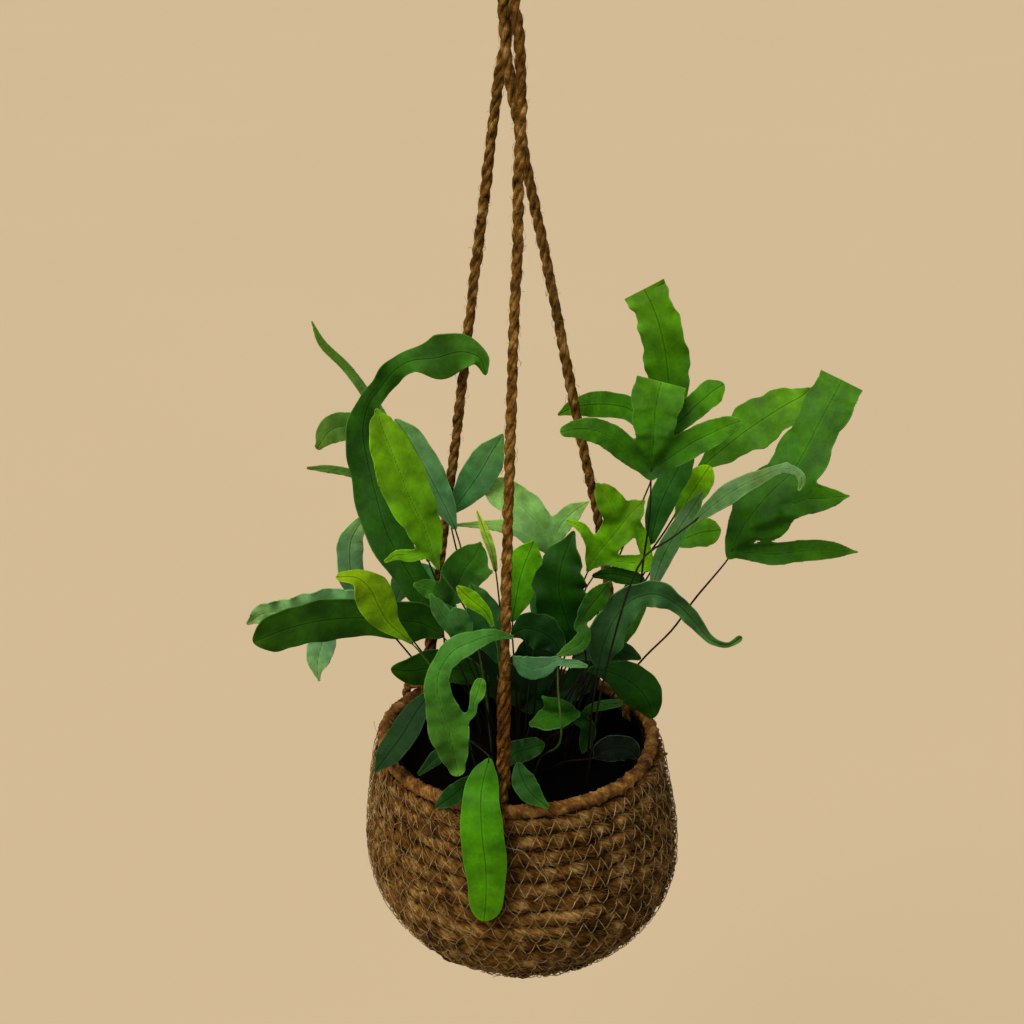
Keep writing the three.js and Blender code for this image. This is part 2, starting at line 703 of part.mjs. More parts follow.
    name: "frond_mid_bright",
    route: [[512, 622, 2, 3], [516, 600, 3, 14], [521, 575, 5, 20], [528, 556, 7, 16], [534, 541, 8, 3]],
    roll: 14,
    colour: "#4f9018",
  },
  {
    name: "frond_centre_arch",
    route: [[562, 656, -46, 3], [553, 640, -45, 14], [538, 631, -43, 18], [524, 629, -42, 14], [511, 635, -41, 3]],
    roll: -16,
    wave: [1.6, 3],
    colour: "#12380e",
  },
  {
    name: "frond_right_small",
    route: [[577, 628, -53, 2], [588, 610, -53, 9], [599, 596, -54, 10], [609, 583, -56, 2]],
    stem: [[586, 660, -49]],
    roll: -18,
    colour: "#3a6c14",
    lobes: [{ at: 0.05, route: [[585, 633, -5, 6], [580, 643, -7, 8], [569, 650, -9, 6], [558, 655, -11, 1.5]] }],
  },
  {
    name: "frond_inner_round",
    route: [[594, 758, -46, 3], [602, 752, -46, 11], [616, 748, -45, 13], [630, 750, -44, 11], [638, 758, -43, 4]],
    roll: 12,
    colour: "#031003",
  },
  {
    name: "frond_inner_twin",
    route: [[577, 722, -16, 1.5], [590, 709, -21, 4], [605, 705, -25, 5], [619, 703, -27, 4]],
    root: [11, -2],
    roll: 20,
    colour: "#224a14",
    lobes: [{ at: 0.05, route: [[588, 727, -3, 7], [586, 742, -3, 7], [583, 752, -3, 2]] }],
  },
  {
    name: "frond_mid_leaflet",
    route: [[458, 641, -42, 2], [449, 625, -42, 7], [439, 609, -41, 8], [431, 595, -39, 2]],
    colour: "#37682a",
    lobes: [{ at: 0.05, route: [[466, 628, -1, 7], [460, 617, -2, 8], [455, 609, -2, 2]] }],
  },
  {
    name: "frond_mid_shade",
    route: [[501, 664, -28, 4], [493, 641, -30, 15], [485, 618, -31, 18], [477, 597, -30, 12], [471, 584, -29, 2]],
    roll: 15,
    colour: "#34682e",
  },
  {
    name: "frond_centre_wide",
    route: [[572, 658, -40, 3], [592, 651, -40, 10], [612, 650, -40, 11], [628, 653, -40, 8], [641, 659, -40, 2]],
    roll: -24,
    colour: "#173e0c",
  },
  {
    name: "frond_right_behind",
    route: [[604, 658, 0, 3], [616, 640, 2, 10], [630, 619, 4, 11], [644, 599, 6, 6]],
    roll: 15,
    colour: "#33650f",
  },
  {
    name: "frond_inner_dark",
    route: [[536, 708, 46, 3], [532, 696, 46, 17], [531, 682, 47, 26], [535, 666, 48, 25], [540, 650, 49, 14],
      [545, 634, 50, 3]],
    roll: -8,
    colour: "#0b2c08",
    wave: [2, 3],
    lobes: [
      { at: 0.2, route: [[508, 690, 1, 13], [490, 680, 1, 14], [474, 668, 1, 12], [460, 658, 2, 3]] },
      { at: 0.2, route: [[562, 692, 1, 13], [580, 680, 1, 15], [592, 664, 1, 12], [596, 650, 2, 3]] },
    ],
  },
  // At the back, out of the photograph's sight.
  {
    name: "frond_back_centre",
    route: [[535, 640, 40, 2], [540, 605, 62, 10], [545, 585, 90, 16], [548, 600, 118, 17], [549, 640, 138, 14],
      [548, 690, 150, 2]],
    wave: [1.6, 4],
    colour: "#2d6420",
  },
  {
    name: "frond_back_left",
    route: [[464, 640, 44, 2], [446, 600, 70, 8], [424, 578, 96, 14], [404, 584, 118, 14], [394, 606, 132, 2]],
    colour: "#386f35",
  },
  {
    name: "frond_back_right",
    route: [[600, 650, 30, 2], [618, 668, 60, 9], [632, 682, 90, 13], [640, 694, 112, 12], [644, 710, 125, 2]],
    colour: "#2d6420",
  },
  {
    name: "frond_back_top",
    route: [[655, 470, 60, 3], [658, 440, 82, 15], [660, 410, 102, 17], [662, 388, 116, 10], [663, 384, 128, 2]],
    wave: [1.6, 3],
    colour: "#3b7219",
  },
];

// How many stations a blade and a lobe are split into.
const BLADE_STATIONS = 7;
const LOBE_STATIONS = 4;
const LEAST_HALF = 0.7; // mm, so that a tip keeps some width
const TIP_SHARE = 0.5; // of its last half width, to which a blade that isn't cut off narrows at its tip
const CALM_HALF = 6; // a blade narrower than this, in mm, ripples less
const NARROW_HALF = 9; // a blade narrower than this, in pixels, isn't creased at its midrib

// Half widths read at a share of the route's points, eased between them.
function halfAt(halves, share) {
  const at = share * (halves.length - 1);
  const i = Math.min(Math.floor(at), halves.length - 2);
  const half = (k) => halves[THREE.MathUtils.clamp(k, 0, halves.length - 1)];
  const [a, b, c, d] = [half(i - 1), half(i), half(i + 1), half(i + 2)];
  const t = at - i;
  const eased = b + 0.5 * t * (c - a + t * (2 * a - 5 * b + 4 * c - d + t * (3 * (b - c) + d - a)));
  return Math.max(eased, Math.min(b, c));
}

// The blade's middle surface: rows across it from the left edge to the right.
function bladeRows(curve, halves, { roll = 0, fold = 0, wave = [0.6, 3], cut }, stations, phase) {
  const sides = Math.max(...halves) < NARROW_HALF ? [-1, 1] : [-1, 0, 1];
  const rows = [];
  for (let i = 0; i < stations; i++) {
    const share = i / (stations - 1);
    const mid = curve.getPoint(share);
    const away = mid.clone().sub(EYE).normalize();
    const left = curve.getTangent(share).cross(away).normalize();
    const narrowing = share === 1 && !cut ? TIP_SHARE : 1;
    const half = Math.max(halfAt(halves, share) * pixelSize(mid) * narrowing, LEAST_HALF);
    const calm = Math.min(1, half / CALM_HALF);
    const row = sides.map((side) => {
      const turn = Math.tan(THREE.MathUtils.degToRad(side * roll + Math.abs(side) * fold));
      const ripple = Math.sin(2 * Math.PI * wave[1] * share + phase + side * 1.1);
      const lift = half * turn + Math.abs(side) * wave[0] * calm * ripple;
      return mid.clone().addScaledVector(left, -side * half).addScaledVector(away, lift);
    });
    rows.push(row);
  }
  return rows;
}

// Gives a middle surface its thickness, split into triangles alike on both faces.
function thickened(rows, thick) {
  const count = rows.length;
  const wide = rows[0].length;
  const at = (i, j) => rows[THREE.MathUtils.clamp(i, 0, count - 1)][THREE.MathUtils.clamp(j, 0, wide - 1)];
  const places = [];
  for (const face of [1, -1]) {
    for (let i = 0; i < count; i++) {
      for (let j = 0; j < wide; j++) {
        const along = at(i + 1, j).clone().sub(at(i - 1, j));
        const across = at(i, j + 1).clone().sub(at(i, j - 1));
        const normal = along.cross(across).normalize();
        places.push(at(i, j).clone().addScaledVector(normal, (face * thick) / 2));
      }
    }
  }
  const top = (i, j) => i * wide + j;
  const low = (i, j) => count * wide + i * wide + j;
  const faces = [];
  const quad = (a, b, c, d) => faces.push(a, b, c, a, c, d);
  for (let i = 0; i + 1 < count; i++) {
    for (let j = 0; j + 1 < wide; j++) {
      quad(top(i, j), top(i + 1, j), top(i + 1, j + 1), top(i, j + 1));
      quad(low(i, j), low(i, j + 1), low(i + 1, j + 1), low(i + 1, j));
    }
    quad(low(i, 0), low(i + 1, 0), top(i + 1, 0), top(i, 0));
    quad(top(i, wide - 1), top(i + 1, wide - 1), low(i + 1, wide - 1), low(i, wide - 1));
  }
  for (let j = 0; j + 1 < wide; j++) {
    quad(low(0, j + 1), low(0, j), top(0, j), top(0, j + 1));
    quad(low(count - 1, j), low(count - 1, j + 1), top(count - 1, j + 1), top(count - 1, j));
  }
  const g = new THREE.BufferGeometry();
  g.setAttribute("position", new THREE.BufferAttribute(new Float32Array(places.flatMap((v) => [...v])), 3));
  g.setIndex(faces);
  return g;
}

// A lobe's route starts on the midrib of its blade.
function lobeRoute(frond, main, lobe) {
  const start = main.getPoint(lobe.at);
  const halves = [Math.max(2, lobe.route[0][3] * 0.6), ...lobe.route.map((p) => p[3])];
  const places = lobe.route.map(([x, y, deep]) => seen([x, y, start.y + deep]));
  return { curve: smoothCurve([start, ...places]), halves };
}

// Where a frond's stem stands in the soil, under its blade's base.
function rootOf({ route, stem = [], root }) {
  if (root) {
    return new THREE.Vector2(...root);
  }
  const base = seen(route[0]);
  const last = stem.length ? seen(stem[stem.length - 1]) : base;
  const place = new THREE.Vector2(base.x + last.x, base.y + last.y).multiplyScalar(ROOT_SPREAD / 2);
  return place.clampLength(0, ROOT_REACH);
}

// Moves places that are too near each other apart, a little at a time.
function spread(places) {
  for (let pass = 0; pass < 40; pass++) {
    places.forEach((a, i) => {
      places.slice(i + 1).forEach((b) => {
        const between = b.clone().sub(a);
        const near = ROOT_APART - between.length();
        if (near > 0) {
          between.normalize().multiplyScalar(near / 2);
          a.sub(between);
          b.add(between);
        }
      });
    });
  }
  return places;
}

const roots = spread(fronds.map(rootOf));

function stemBar(frond, main, root) {
  const soilTop = SOIL_Z + SOIL_MOUND - RIM_DROP;
  const upright = (z) => new THREE.Vector3(root.x, root.y, z);
  const waypoints = (frond.stem ?? []).map(seen);
  const base = main.getPoint(0);
  const next = waypoints.length ? waypoints[waypoints.length - 1] : base;
  const lean = new THREE.Vector3(
    THREE.MathUtils.lerp(root.x, next.x, 0.3),
    THREE.MathUtils.lerp(root.y, next.y, 0.3),
    THREE.MathUtils.lerp(soilTop, next.z, 0.5),
  );
  const places = [main.getPoint(0.05), base, ...waypoints, lean, upright(soilTop + 4)];
  const down = eased(places, 3 + 2 * waypoints.length);
  return bar([...down, upright(SOIL_Z - STEM_SEAT - RIM_DROP)], STEM_R, STEM_SIDES);
}

function frondSolid(frond, index) {
  const main = smoothCurve(frond.route.map(seen));
  const phase = index * 2.4;
  const stations = Math.max(BLADE_STATIONS, frond.route.length + 2);
  const halves = frond.route.map((p) => p[3]);
  const pieces = [thickened(bladeRows(main, halves, frond, stations, phase), BLADE_THICK)];
  (frond.lobes ?? []).forEach((lobe, k) => {
    const { curve, halves: lobeHalves } = lobeRoute(frond, main, lobe);
    const rows = bladeRows(curve, lobeHalves, lobe, Math.max(LOBE_STATIONS, lobe.route.length + 1), phase + k + 1);
    pieces.push(thickened(rows, BLADE_THICK));
  });
  pieces.push(stemBar(frond, main, roots[index]));
  return joined(pieces);
}

// ---- The part ----
addNode("basket", toGeometry(clearOfRopes(sway(turned(basketOutline(), BASKET_SIDES)))), "#a8794a");
addNode("liner", toGeometry(clearOfRopes(sway(turned(linerOutline(), BASKET_SIDES)))), "#1c1b1a");
addNode("soil", toGeometry(soil(roots)), "#2a2019");
ropes.forEach((spec) => addNode(spec.name, toGeometry(rope(spec)), "#5d4330"));
addNode("top_knot", toGeometry(topKnot()), "#5d4330");
addNode("hanging_loop", hangingLoop(), "#5d4330");
fronds.forEach((frond, i) => addNode(frond.name, toGeometry(frondSolid(frond, i)), frond.colour));

export default part;
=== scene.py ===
# %% [markdown]
# # A lobed fern in a coiled fibre basket
#
# A house plant hangs in a hand-coiled basket from three twisted ropes. The solids come first: they give
# every piece its place and size. Here each of them gets its real surface: fibres, stitches, twisted
# strands, and leaves with veins, waved margins and a bloom.
#
# The frame is loaded before anything else.

# %% The frame
import json
import math

import bpy
import numpy as np
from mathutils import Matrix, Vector


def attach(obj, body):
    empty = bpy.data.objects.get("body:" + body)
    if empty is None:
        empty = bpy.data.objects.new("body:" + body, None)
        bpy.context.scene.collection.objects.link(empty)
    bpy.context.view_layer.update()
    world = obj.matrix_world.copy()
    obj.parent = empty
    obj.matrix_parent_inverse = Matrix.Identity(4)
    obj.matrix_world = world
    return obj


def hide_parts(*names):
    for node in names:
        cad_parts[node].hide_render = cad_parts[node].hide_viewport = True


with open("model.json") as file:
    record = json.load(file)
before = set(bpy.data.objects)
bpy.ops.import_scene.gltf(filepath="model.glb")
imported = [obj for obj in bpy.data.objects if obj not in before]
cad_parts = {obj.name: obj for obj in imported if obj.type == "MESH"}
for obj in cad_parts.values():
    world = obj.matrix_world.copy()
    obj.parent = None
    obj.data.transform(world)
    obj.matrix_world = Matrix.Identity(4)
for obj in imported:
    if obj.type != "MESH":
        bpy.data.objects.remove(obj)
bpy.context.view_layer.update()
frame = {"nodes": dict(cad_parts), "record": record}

MM = 0.001
SLOTS = {piece["node"]: piece["material_slot"] for piece in frame["record"]["subparts"]}

# %% [markdown]
# ## Camera and light
#
# The photograph was taken from a little above the ropes' top, looking down at the pot. One could guess a
# camera and move it till the picture fits. Here its place comes from the rim: a circle of known size, seen
# as an ellipse, fixes the distance and the tilt. The same camera also lays the leaves where they are seen.
#
# The room is plain: a pale floor far below, a large soft light from the upper left, weak lights from the
# other sides, and a little even light all round, so that only the depths between the leaves are dark.

# %% Camera
EYE = np.array([-0.004, -0.922, 0.003])
EYE_TILT = math.radians(22.9)
FOCAL_PX = 1620
FRAME_PX = 1024
MIDDLE_PX = FRAME_PX / 2
SENSOR_MM = 36
RIGHT = np.array([1, 0, 0])
FORWARD = np.array([0, math.cos(EYE_TILT), -math.sin(EYE_TILT)])
UP = np.array([0, math.sin(EYE_TILT), math.cos(EYE_TILT)])

camera_data = bpy.data.cameras.new("camera")
camera_data.sensor_width = SENSOR_MM
camera_data.lens = SENSOR_MM * FOCAL_PX / FRAME_PX
camera_data.clip_end = 100
camera = bpy.data.objects.new("camera", camera_data)
camera.location = EYE
camera.rotation_euler = (math.pi / 2 - EYE_TILT, 0, 0)
bpy.context.collection.objects.link(camera)
bpy.context.scene.camera = camera
print("lens:", round(camera_data.lens, 2), "mm")


# %% Shared helpers for node trees
def add(tree, kind, inputs=None, **settings):
    """A new node with its settings made, and each input linked to a socket or set to a value."""
    made = tree.nodes.new(kind)
    for name, value in settings.items():
        setattr(made, name, value)
    for key, value in (inputs or {}).items():
        if isinstance(value, bpy.types.NodeSocket):
            tree.links.new(value, made.inputs[key])
        else:
            made.inputs[key].default_value = value
    return made


def math_node(tree, operation, first, second=0.0, third=0.0):
    """The result of one sum on two or three values or sockets."""
    return add(tree, "ShaderNodeMath", {0: first, 1: second, 2: third}, operation=operation).outputs[0]


def vectors(tree, operation, first, second):
    """The result of one sum on two vectors."""
    return add(tree, "ShaderNodeVectorMath", {0: first, 1: second}, operation=operation).outputs[0]


def scaled(tree, vector, amount):
    """A vector or colour times a number."""
    return add(tree, "ShaderNodeVectorMath", {0: vector, "Scale": amount}, operation="SCALE").outputs[0]


def mixed(tree, share, low, high):
    """A colour that runs from low to high as the share runs from 0 to 1."""
    return add(tree, "ShaderNodeMix", {0: share, "A": low, "B": high}, data_type="RGBA").outputs["Result"]


def ranged(tree, value, from_low, from_high, to_low=0.0, to_high=1.0):
    """A value carried over from one range to another, and kept inside it."""
    limits = {0: value, 1: from_low, 2: from_high, 3: to_low, 4: to_high}
    return add(tree, "ShaderNodeMapRange", limits).outputs[0]


def noise(tree, place, scale, detail, roughness=0.5):
    """Cloudy values from 0 to 1."""
    inputs = {"Vector": place, "Scale": scale, "Detail": detail, "Roughness": roughness}
    return add(tree, "ShaderNodeTexNoise", inputs).outputs["Fac"]


def mark(tree, name, output="Fac"):
    """What a mesh carries at each point under a name."""
    return add(tree, "ShaderNodeAttribute", attribute_name=name).outputs[output]


def own_place(tree):
    """Where a point of the surface lies in its object."""
    return add(tree, "ShaderNodeTexCoord").outputs["Object"]


def linear(colour):
    """A hexadecimal colour as linear red, green, blue and 1."""
    parts = [int(colour[i : i + 2], 16) / 255 for i in (1, 3, 5)]
    return [v / 12.92 if v <= 0.04045 else ((v + 0.055) / 1.055) ** 2.4 for v in parts] + [1.0]


def new_material(name):
    """An empty material and its tree."""
    material = bpy.data.materials.new(name)
    material.use_nodes = True
    tree = material.node_tree
    tree.nodes.clear()
    return material, tree


def end_material(tree, colour, rough, shine, height=None, strength=1.0, relief=0.0):
    """Ends a material with its shader, over a bump of the given relief in metres."""
    inputs = {"Base Color": colour, "Roughness": rough, "Specular IOR Level": shine}
    if height:
        bump = add(tree, "ShaderNodeBump", {"Height": height, "Strength": strength, "Distance": relief})
        inputs["Normal"] = bump.outputs[0]
    shader = add(tree, "ShaderNodeBsdfPrincipled", inputs)
    add(tree, "ShaderNodeOutputMaterial", {"Surface": shader.outputs[0]})


# %% Light and floor
FLOOR_DROP = 1.55
FLOOR_HALF = 40
FLOOR_COLOUR = (0.723, 0.561, 0.3535)
FLOOR_CLOUDS = 0.015

scene = bpy.context.scene
scene.view_settings.view_transform = "Standard"
world = bpy.data.worlds.new("soft_room")
world.use_nodes = True
world.node_tree.nodes["Background"].inputs["Color"].default_value = (1.0, 0.97, 0.92, 1)
world.node_tree.nodes["Background"].inputs["Strength"].default_value = 0.2
scene.world = world


def sun(name, aim, strength, spread, colour):
    """A soft distant light that shines along aim."""
    data = bpy.data.lights.new(name, "SUN")
    data.energy = strength
    data.angle = math.radians(spread)
    data.color = colour
    made = bpy.data.objects.new(name, data)
    made.rotation_euler = Vector(aim).to_track_quat("-Z", "Y").to_euler()
    bpy.context.collection.objects.link(made)


sun("key", (0.5, 0.45, -0.85), 2.5, 45, (1, 0.98, 0.94))
sun("fill", (-0.6, 0.85, -0.25), 0.3, 90, (1, 0.97, 0.93))
sun("back", (-0.15, -0.9, -0.3), 0.45, 90, (1, 0.98, 0.95))


def floor_material():
    """Pale painted board with a very faint cloudiness."""
    material, tree = new_material("floor_paint")
    clouds = noise(tree, own_place(tree), 0.8, 3)
    low, high = ([v * k for v in FLOOR_COLOUR] + [1] for k in (1 - FLOOR_CLOUDS, 1 + FLOOR_CLOUDS))
    end_material(tree, mixed(tree, clouds, low, high), 0.95, 0.05)
    return material


def linked(name, data):
    """An object at the origin with this data, in the scene."""
    made = bpy.data.objects.new(name, data)
    bpy.context.collection.objects.link(made)
    return made


def mesh_object(name, places, faces, material=None, smooth=True):
    """A mesh at the origin from places in metres and lists of corners."""
    mesh = bpy.data.meshes.new(name)
    mesh.from_pydata([tuple(p) for p in places], [], [tuple(f) for f in faces])
    mesh.validate()
    mesh.polygons.foreach_set("use_smooth", [smooth] * len(mesh.polygons))
    if material:
        mesh.materials.append(material)
    return linked(name, mesh)


corner_ways = ((-1, -1), (1, -1), (1, 1), (-1, 1))
floor_corners = [(x * FLOOR_HALF, y * FLOOR_HALF, -FLOOR_DROP) for x, y in corner_ways]
floor = mesh_object("floor", floor_corners, [(0, 1, 2, 3)], floor_material(), smooth=False)
floor.visible_diffuse = False
floor.visible_glossy = False
print("floor:", FLOOR_DROP, "m below the hook; lights:", len(bpy.data.lights))

# %% [markdown]
# ## Ropes
#
# Each rope is three strands of jute laid round each other, about 6 mm thick. It runs down from the knot, is
# spliced back into itself over its last 78 mm, and ends in an eye round the rim's coil.
#
# A rope could be a smooth tube with a striped bump, and from far off that would do. But its outline is
# lumpy where a strand comes round, and dark between strands, so real strands are worth their faces. One
# node tree lays any number of strands round any line. It serves ropes, knot, rim and the basket's rows.


# %% A place in the part from its place in the photograph
def seen(x, y, deep):
    """The place, in metres, seen at pixel x, y and lying deep millimetres behind the pot's middle."""
    ray = FORWARD + RIGHT * (x - MIDDLE_PX) / FOCAL_PX + UP * (MIDDLE_PX - y) / FOCAL_PX
    return EYE + ray * (deep * MM - EYE[1]) / ray[1]


def to_pixels(places):
    """Where places in the part are seen in the photograph."""
    from_eye = places - EYE
    depth = from_eye @ FORWARD
    x = MIDDLE_PX + from_eye[:, 0] / depth * FOCAL_PX
    y = MIDDLE_PX - from_eye @ UP / depth * FOCAL_PX
    return np.column_stack([x, y])


def smooth_way(points, shares):
    """Places on one smooth curve through the points, at shares of its points from 0 to 1."""
    points = np.asarray(points, float)
    before = 2 * points[0] - points[1]
    after = 2 * points[-1] - points[-2]
    padded = np.vstack([before, points, after])
    at = np.clip(np.asarray(shares, float), 0, 1) * (len(points) - 1)
    index = np.minimum(at.astype(int), len(points) - 2)
    t = (at - index)[:, None]
    p0, p1, p2, p3 = (padded[index + k] for k in range(4))
    d0, d1, d2 = (np.linalg.norm(b - a, axis=1)[:, None] ** 0.5 for a, b in ((p0, p1), (p1, p2), (p2, p3)))
    m1 = ((p1 - p0) / d0 - (p2 - p0) / (d0 + d1) + (p2 - p1) / d1) * d1
    m2 = ((p2 - p1) / d1 - (p3 - p1) / (d1 + d2) + (p3 - p2) / d2) * d1
    bend = -3 * p1 + 3 * p2 - 2 * m1 - m2
    turn = 2 * p1 - 2 * p2 + m1 + m2
    return p1 + t * (m1 + t * (bend + t * turn))


def run_along(places):
    """How far along a line through places each of them lies."""
    return np.concatenate([[0], np.cumsum(np.linalg.norm(np.diff(places, axis=0), axis=1))])


def length_of(places):
    """Length of a line through places."""
    return float(np.linalg.norm(np.diff(places, axis=0), axis=1).sum())


def even_way(points, count):
    """Evenly spaced places on the smooth curve through the points."""
    fine = smooth_way(points, np.linspace(0, 1, 400))
    run = run_along(fine)
    wanted = np.linspace(0, run[-1], count)
    return np.column_stack([np.interp(wanted, run, fine[:, k]) for k in range(3)])


def tube(way, radii, sides):
    """The skin of a round tube along a way, open at both ends, as places and faces."""
    places = []
    for i, centre in enumerate(way):
        ahead = way[min(i + 1, len(way) - 1)] - way[max(i - 1, 0)]
        ahead = ahead / np.linalg.norm(ahead)
        across = np.cross(ahead, (0, 1, 0.1))
        across /= np.linalg.norm(across)
        third = np.cross(ahead, across)
        for a in (2 * math.pi * k / sides for k in range(sides)):
            places.append(centre + radii[i] * (math.cos(a) * across + math.sin(a) * third))
    return places, tube_faces(len(way), sides)


def tube_faces(rings, sides):
    """The four-cornered faces between rings of places, each ring with as many places as sides."""
    faces = []
    for i in range(rings - 1):
        low, high = sides * i, sides * (i + 1)
        for k in range(sides):
            j = (k + 1) % sides
            faces.append((low + k, low + j, high + j, high + k))
    return faces


# %% One tree for twisted strands
SWELL_SCALE = 90.0  # swellings of a strand in a metre


def new_tree(name, settings):
    """A geometry tree with a geometry input and output and the named settings."""
    tree = bpy.data.node_groups.new(name, "GeometryNodeTree")
    tree.interface.new_socket("Geometry", in_out="INPUT", socket_type="NodeSocketGeometry")
    for label, (kind, value) in settings.items():
        socket = tree.interface.new_socket(label, in_out="INPUT", socket_type=kind)
        if value is not None:
            socket.default_value = value
    tree.interface.new_socket("Geometry", in_out="OUTPUT", socket_type="NodeSocketGeometry")
    return tree, add(tree, "NodeGroupInput").outputs


def finish_tree(tree, geometry, material):
    """Ends a tree with real geometry that carries its material."""
    real = add(tree, "GeometryNodeRealizeInstances", {"Geometry": geometry})
    smooth = add(tree, "GeometryNodeSetShadeSmooth", {"Geometry": real.outputs[0]})
    dressed = add(tree, "GeometryNodeSetMaterial", {"Geometry": smooth.outputs[0], "Material": material})
    add(tree, "NodeGroupOutput", {0: dressed.outputs[0]})
    return tree


def kept_mark(tree, geometry, name, value):
    """The geometry with a value kept at each of its points under a name."""
    inputs = {0: geometry, "Name": name, "Value": value}
    kept = add(tree, "GeometryNodeStoreNamedAttribute", inputs, data_type="FLOAT", domain="POINT")
    return kept.outputs[0]


def strands_tree():
    """Strands laid round each line: how many, how many turns, how far out, and how thick."""
    tree, given = new_tree(
        "twisted_strands",
        {
            "Strands": ("NodeSocketInt", 3),
            "Turns": ("NodeSocketFloat", 20.0),
            "Reach": ("NodeSocketFloat", 0.0016),
            "Strand radius": ("NodeSocketFloat", 0.0017),
            "Unevenness": ("NodeSocketFloat", 0.15),
            "Sides": ("NodeSocketInt", 6),
            "Pinches": ("NodeSocketFloat", 0.0),
            "Pinch depth": ("NodeSocketFloat", 0.0),
            "Seed": ("NodeSocketFloat", 0.0),
            "Material": ("NodeSocketMaterial", None),
        },
    )
    line = add(tree, "GeometryNodeMeshToCurve", {0: given["Geometry"]})
    many = add(tree, "GeometryNodeDuplicateElements", {0: line.outputs[0], "Amount": given["Strands"]})
    many.domain = "SPLINE"
    number = many.outputs["Duplicate Index"]
    run = add(tree, "GeometryNodeSplineParameter").outputs
    share = math_node(tree, "DIVIDE", number, given["Strands"])
    phase = math_node(tree, "MULTIPLY_ADD", run["Factor"], given["Turns"], share)
    angle = math_node(tree, "MULTIPLY", phase, 2 * math.pi)
    place = add(tree, "GeometryNodeInputPosition").outputs[0]
    shift = add(tree, "ShaderNodeCombineXYZ", {0: given["Seed"], 1: number, 2: number}).outputs[0]
    rough = noise(tree, vectors(tree, "ADD", place, shift), SWELL_SCALE, 2.0)
    uneven = math_node(tree, "SUBTRACT", rough, 0.5)
    swell = math_node(tree, "MULTIPLY_ADD", uneven, given["Unevenness"], 1.0)
    half_turns = math_node(tree, "MULTIPLY", run["Factor"], given["Pinches"])
    beat = math_node(tree, "SINE", math_node(tree, "MULTIPLY", half_turns, math.pi))
    squeeze = math_node(tree, "MULTIPLY", math_node(tree, "ABSOLUTE", beat), given["Pinch depth"])
    reach = math_node(tree, "MULTIPLY", math_node(tree, "SUBTRACT", swell, squeeze), given["Reach"])
    tangent = add(tree, "GeometryNodeInputTangent").outputs[0]
    normal = add(tree, "GeometryNodeInputNormal").outputs["Normal"]
    other = vectors(tree, "CROSS_PRODUCT", tangent, normal)
    one_way = scaled(tree, normal, math_node(tree, "MULTIPLY", reach, math_node(tree, "COSINE", angle)))
    other_way = scaled(tree, other, math_node(tree, "MULTIPLY", reach, math_node(tree, "SINE", angle)))
    marked = kept_mark(tree, many.outputs[0], "along", run["Length"])
    marked = kept_mark(tree, marked, "strand", share)
    offset = vectors(tree, "ADD", one_way, other_way)
    laid = add(tree, "GeometryNodeSetPosition", {0: marked, "Offset": offset})
    thick = add(tree, "GeometryNodeSetCurveRadius", {0: laid.outputs[0], "Radius": swell})
    ring_size = {"Resolution": given["Sides"], "Radius": given["Strand radius"]}
    ring = add(tree, "GeometryNodeCurvePrimitiveCircle", ring_size)
    around = add(tree, "GeometryNodeSplineParameter").outputs["Factor"]
    ring_kept = kept_mark(tree, ring.outputs[0], "around", around)
    skin_inputs = {"Curve": thick.outputs[0], "Profile Curve": ring_kept, "Fill Caps": True}
    skin_inputs["Scale"] = add(tree, "GeometryNodeInputRadius").outputs[0]
    skin = add(tree, "GeometryNodeCurveToMesh", skin_inputs)
    return finish_tree(tree, skin.outputs[0], given["Material"])


STRANDS = strands_tree()
print("twisted strands:", len(STRANDS.nodes), "nodes")


# %% Running a tree on lines or on a surface
def grown(name, source, tree, settings):
    """A new piece: what the tree makes of the source, with the named settings."""
    work = source.modifiers.new("grow", "NODES")
    work.node_group = tree
    names = {item.name: item.identifier for item in tree.interface.items_tree if item.in_out == "INPUT"}
    for label, value in settings.items():
        work[names[label]] = value
    depsgraph = bpy.context.evaluated_depsgraph_get()
    shown = source.evaluated_get(depsgraph)
    mesh = bpy.data.meshes.new_from_object(shown, preserve_all_data_layers=True, depsgraph=depsgraph)
    mesh.name = name
    source.modifiers.remove(work)
    return linked(name, mesh)


def lines_object(lines, closed=False):
    """One mesh of bare edges through each list of places."""
    places = []
    edges = []
    for line in lines:
        first = len(places)
        places.extend(tuple(p) for p in line)
        edges.extend((i, i + 1) for i in range(first, len(places) - 1))
        if closed:
            edges.append((len(places) - 1, first))
    mesh = bpy.data.meshes.new("lines")
    mesh.from_pydata(places, edges, [])
    return linked("lines", mesh)


def owned(piece, *nodes):
    """The piece rides on the one body and stands for these solids, which it hides."""
    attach(piece, "root")
    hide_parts(*nodes)
    return piece


def in_words(settings):
    """Settings under the labels that a tree's inputs have."""
    return {label.replace("_", " ").capitalize(): value for label, value in settings.items()}


def stranded(node, name, lines, material, closed=False, **settings):
    """Twisted strands round each line, as one piece that stands for a solid."""
    source = lines_object(lines, closed)
    made = grown(name, source, STRANDS, {**in_words(settings), "Material": material})
    bpy.data.objects.remove(source)
    print(name, len(made.data.polygons), "faces")
    return owned(made, node)


# %% Jute and fibre share one surface
STREAK_SCALE = 10.0
STREAK_RING = 0.6  # streaks differ this much round a strand
STREAK_RUN = 9.0  # and this much for each metre along it
STRAND_SHIFT = 37.0  # so that no two strands of one line are streaked alike


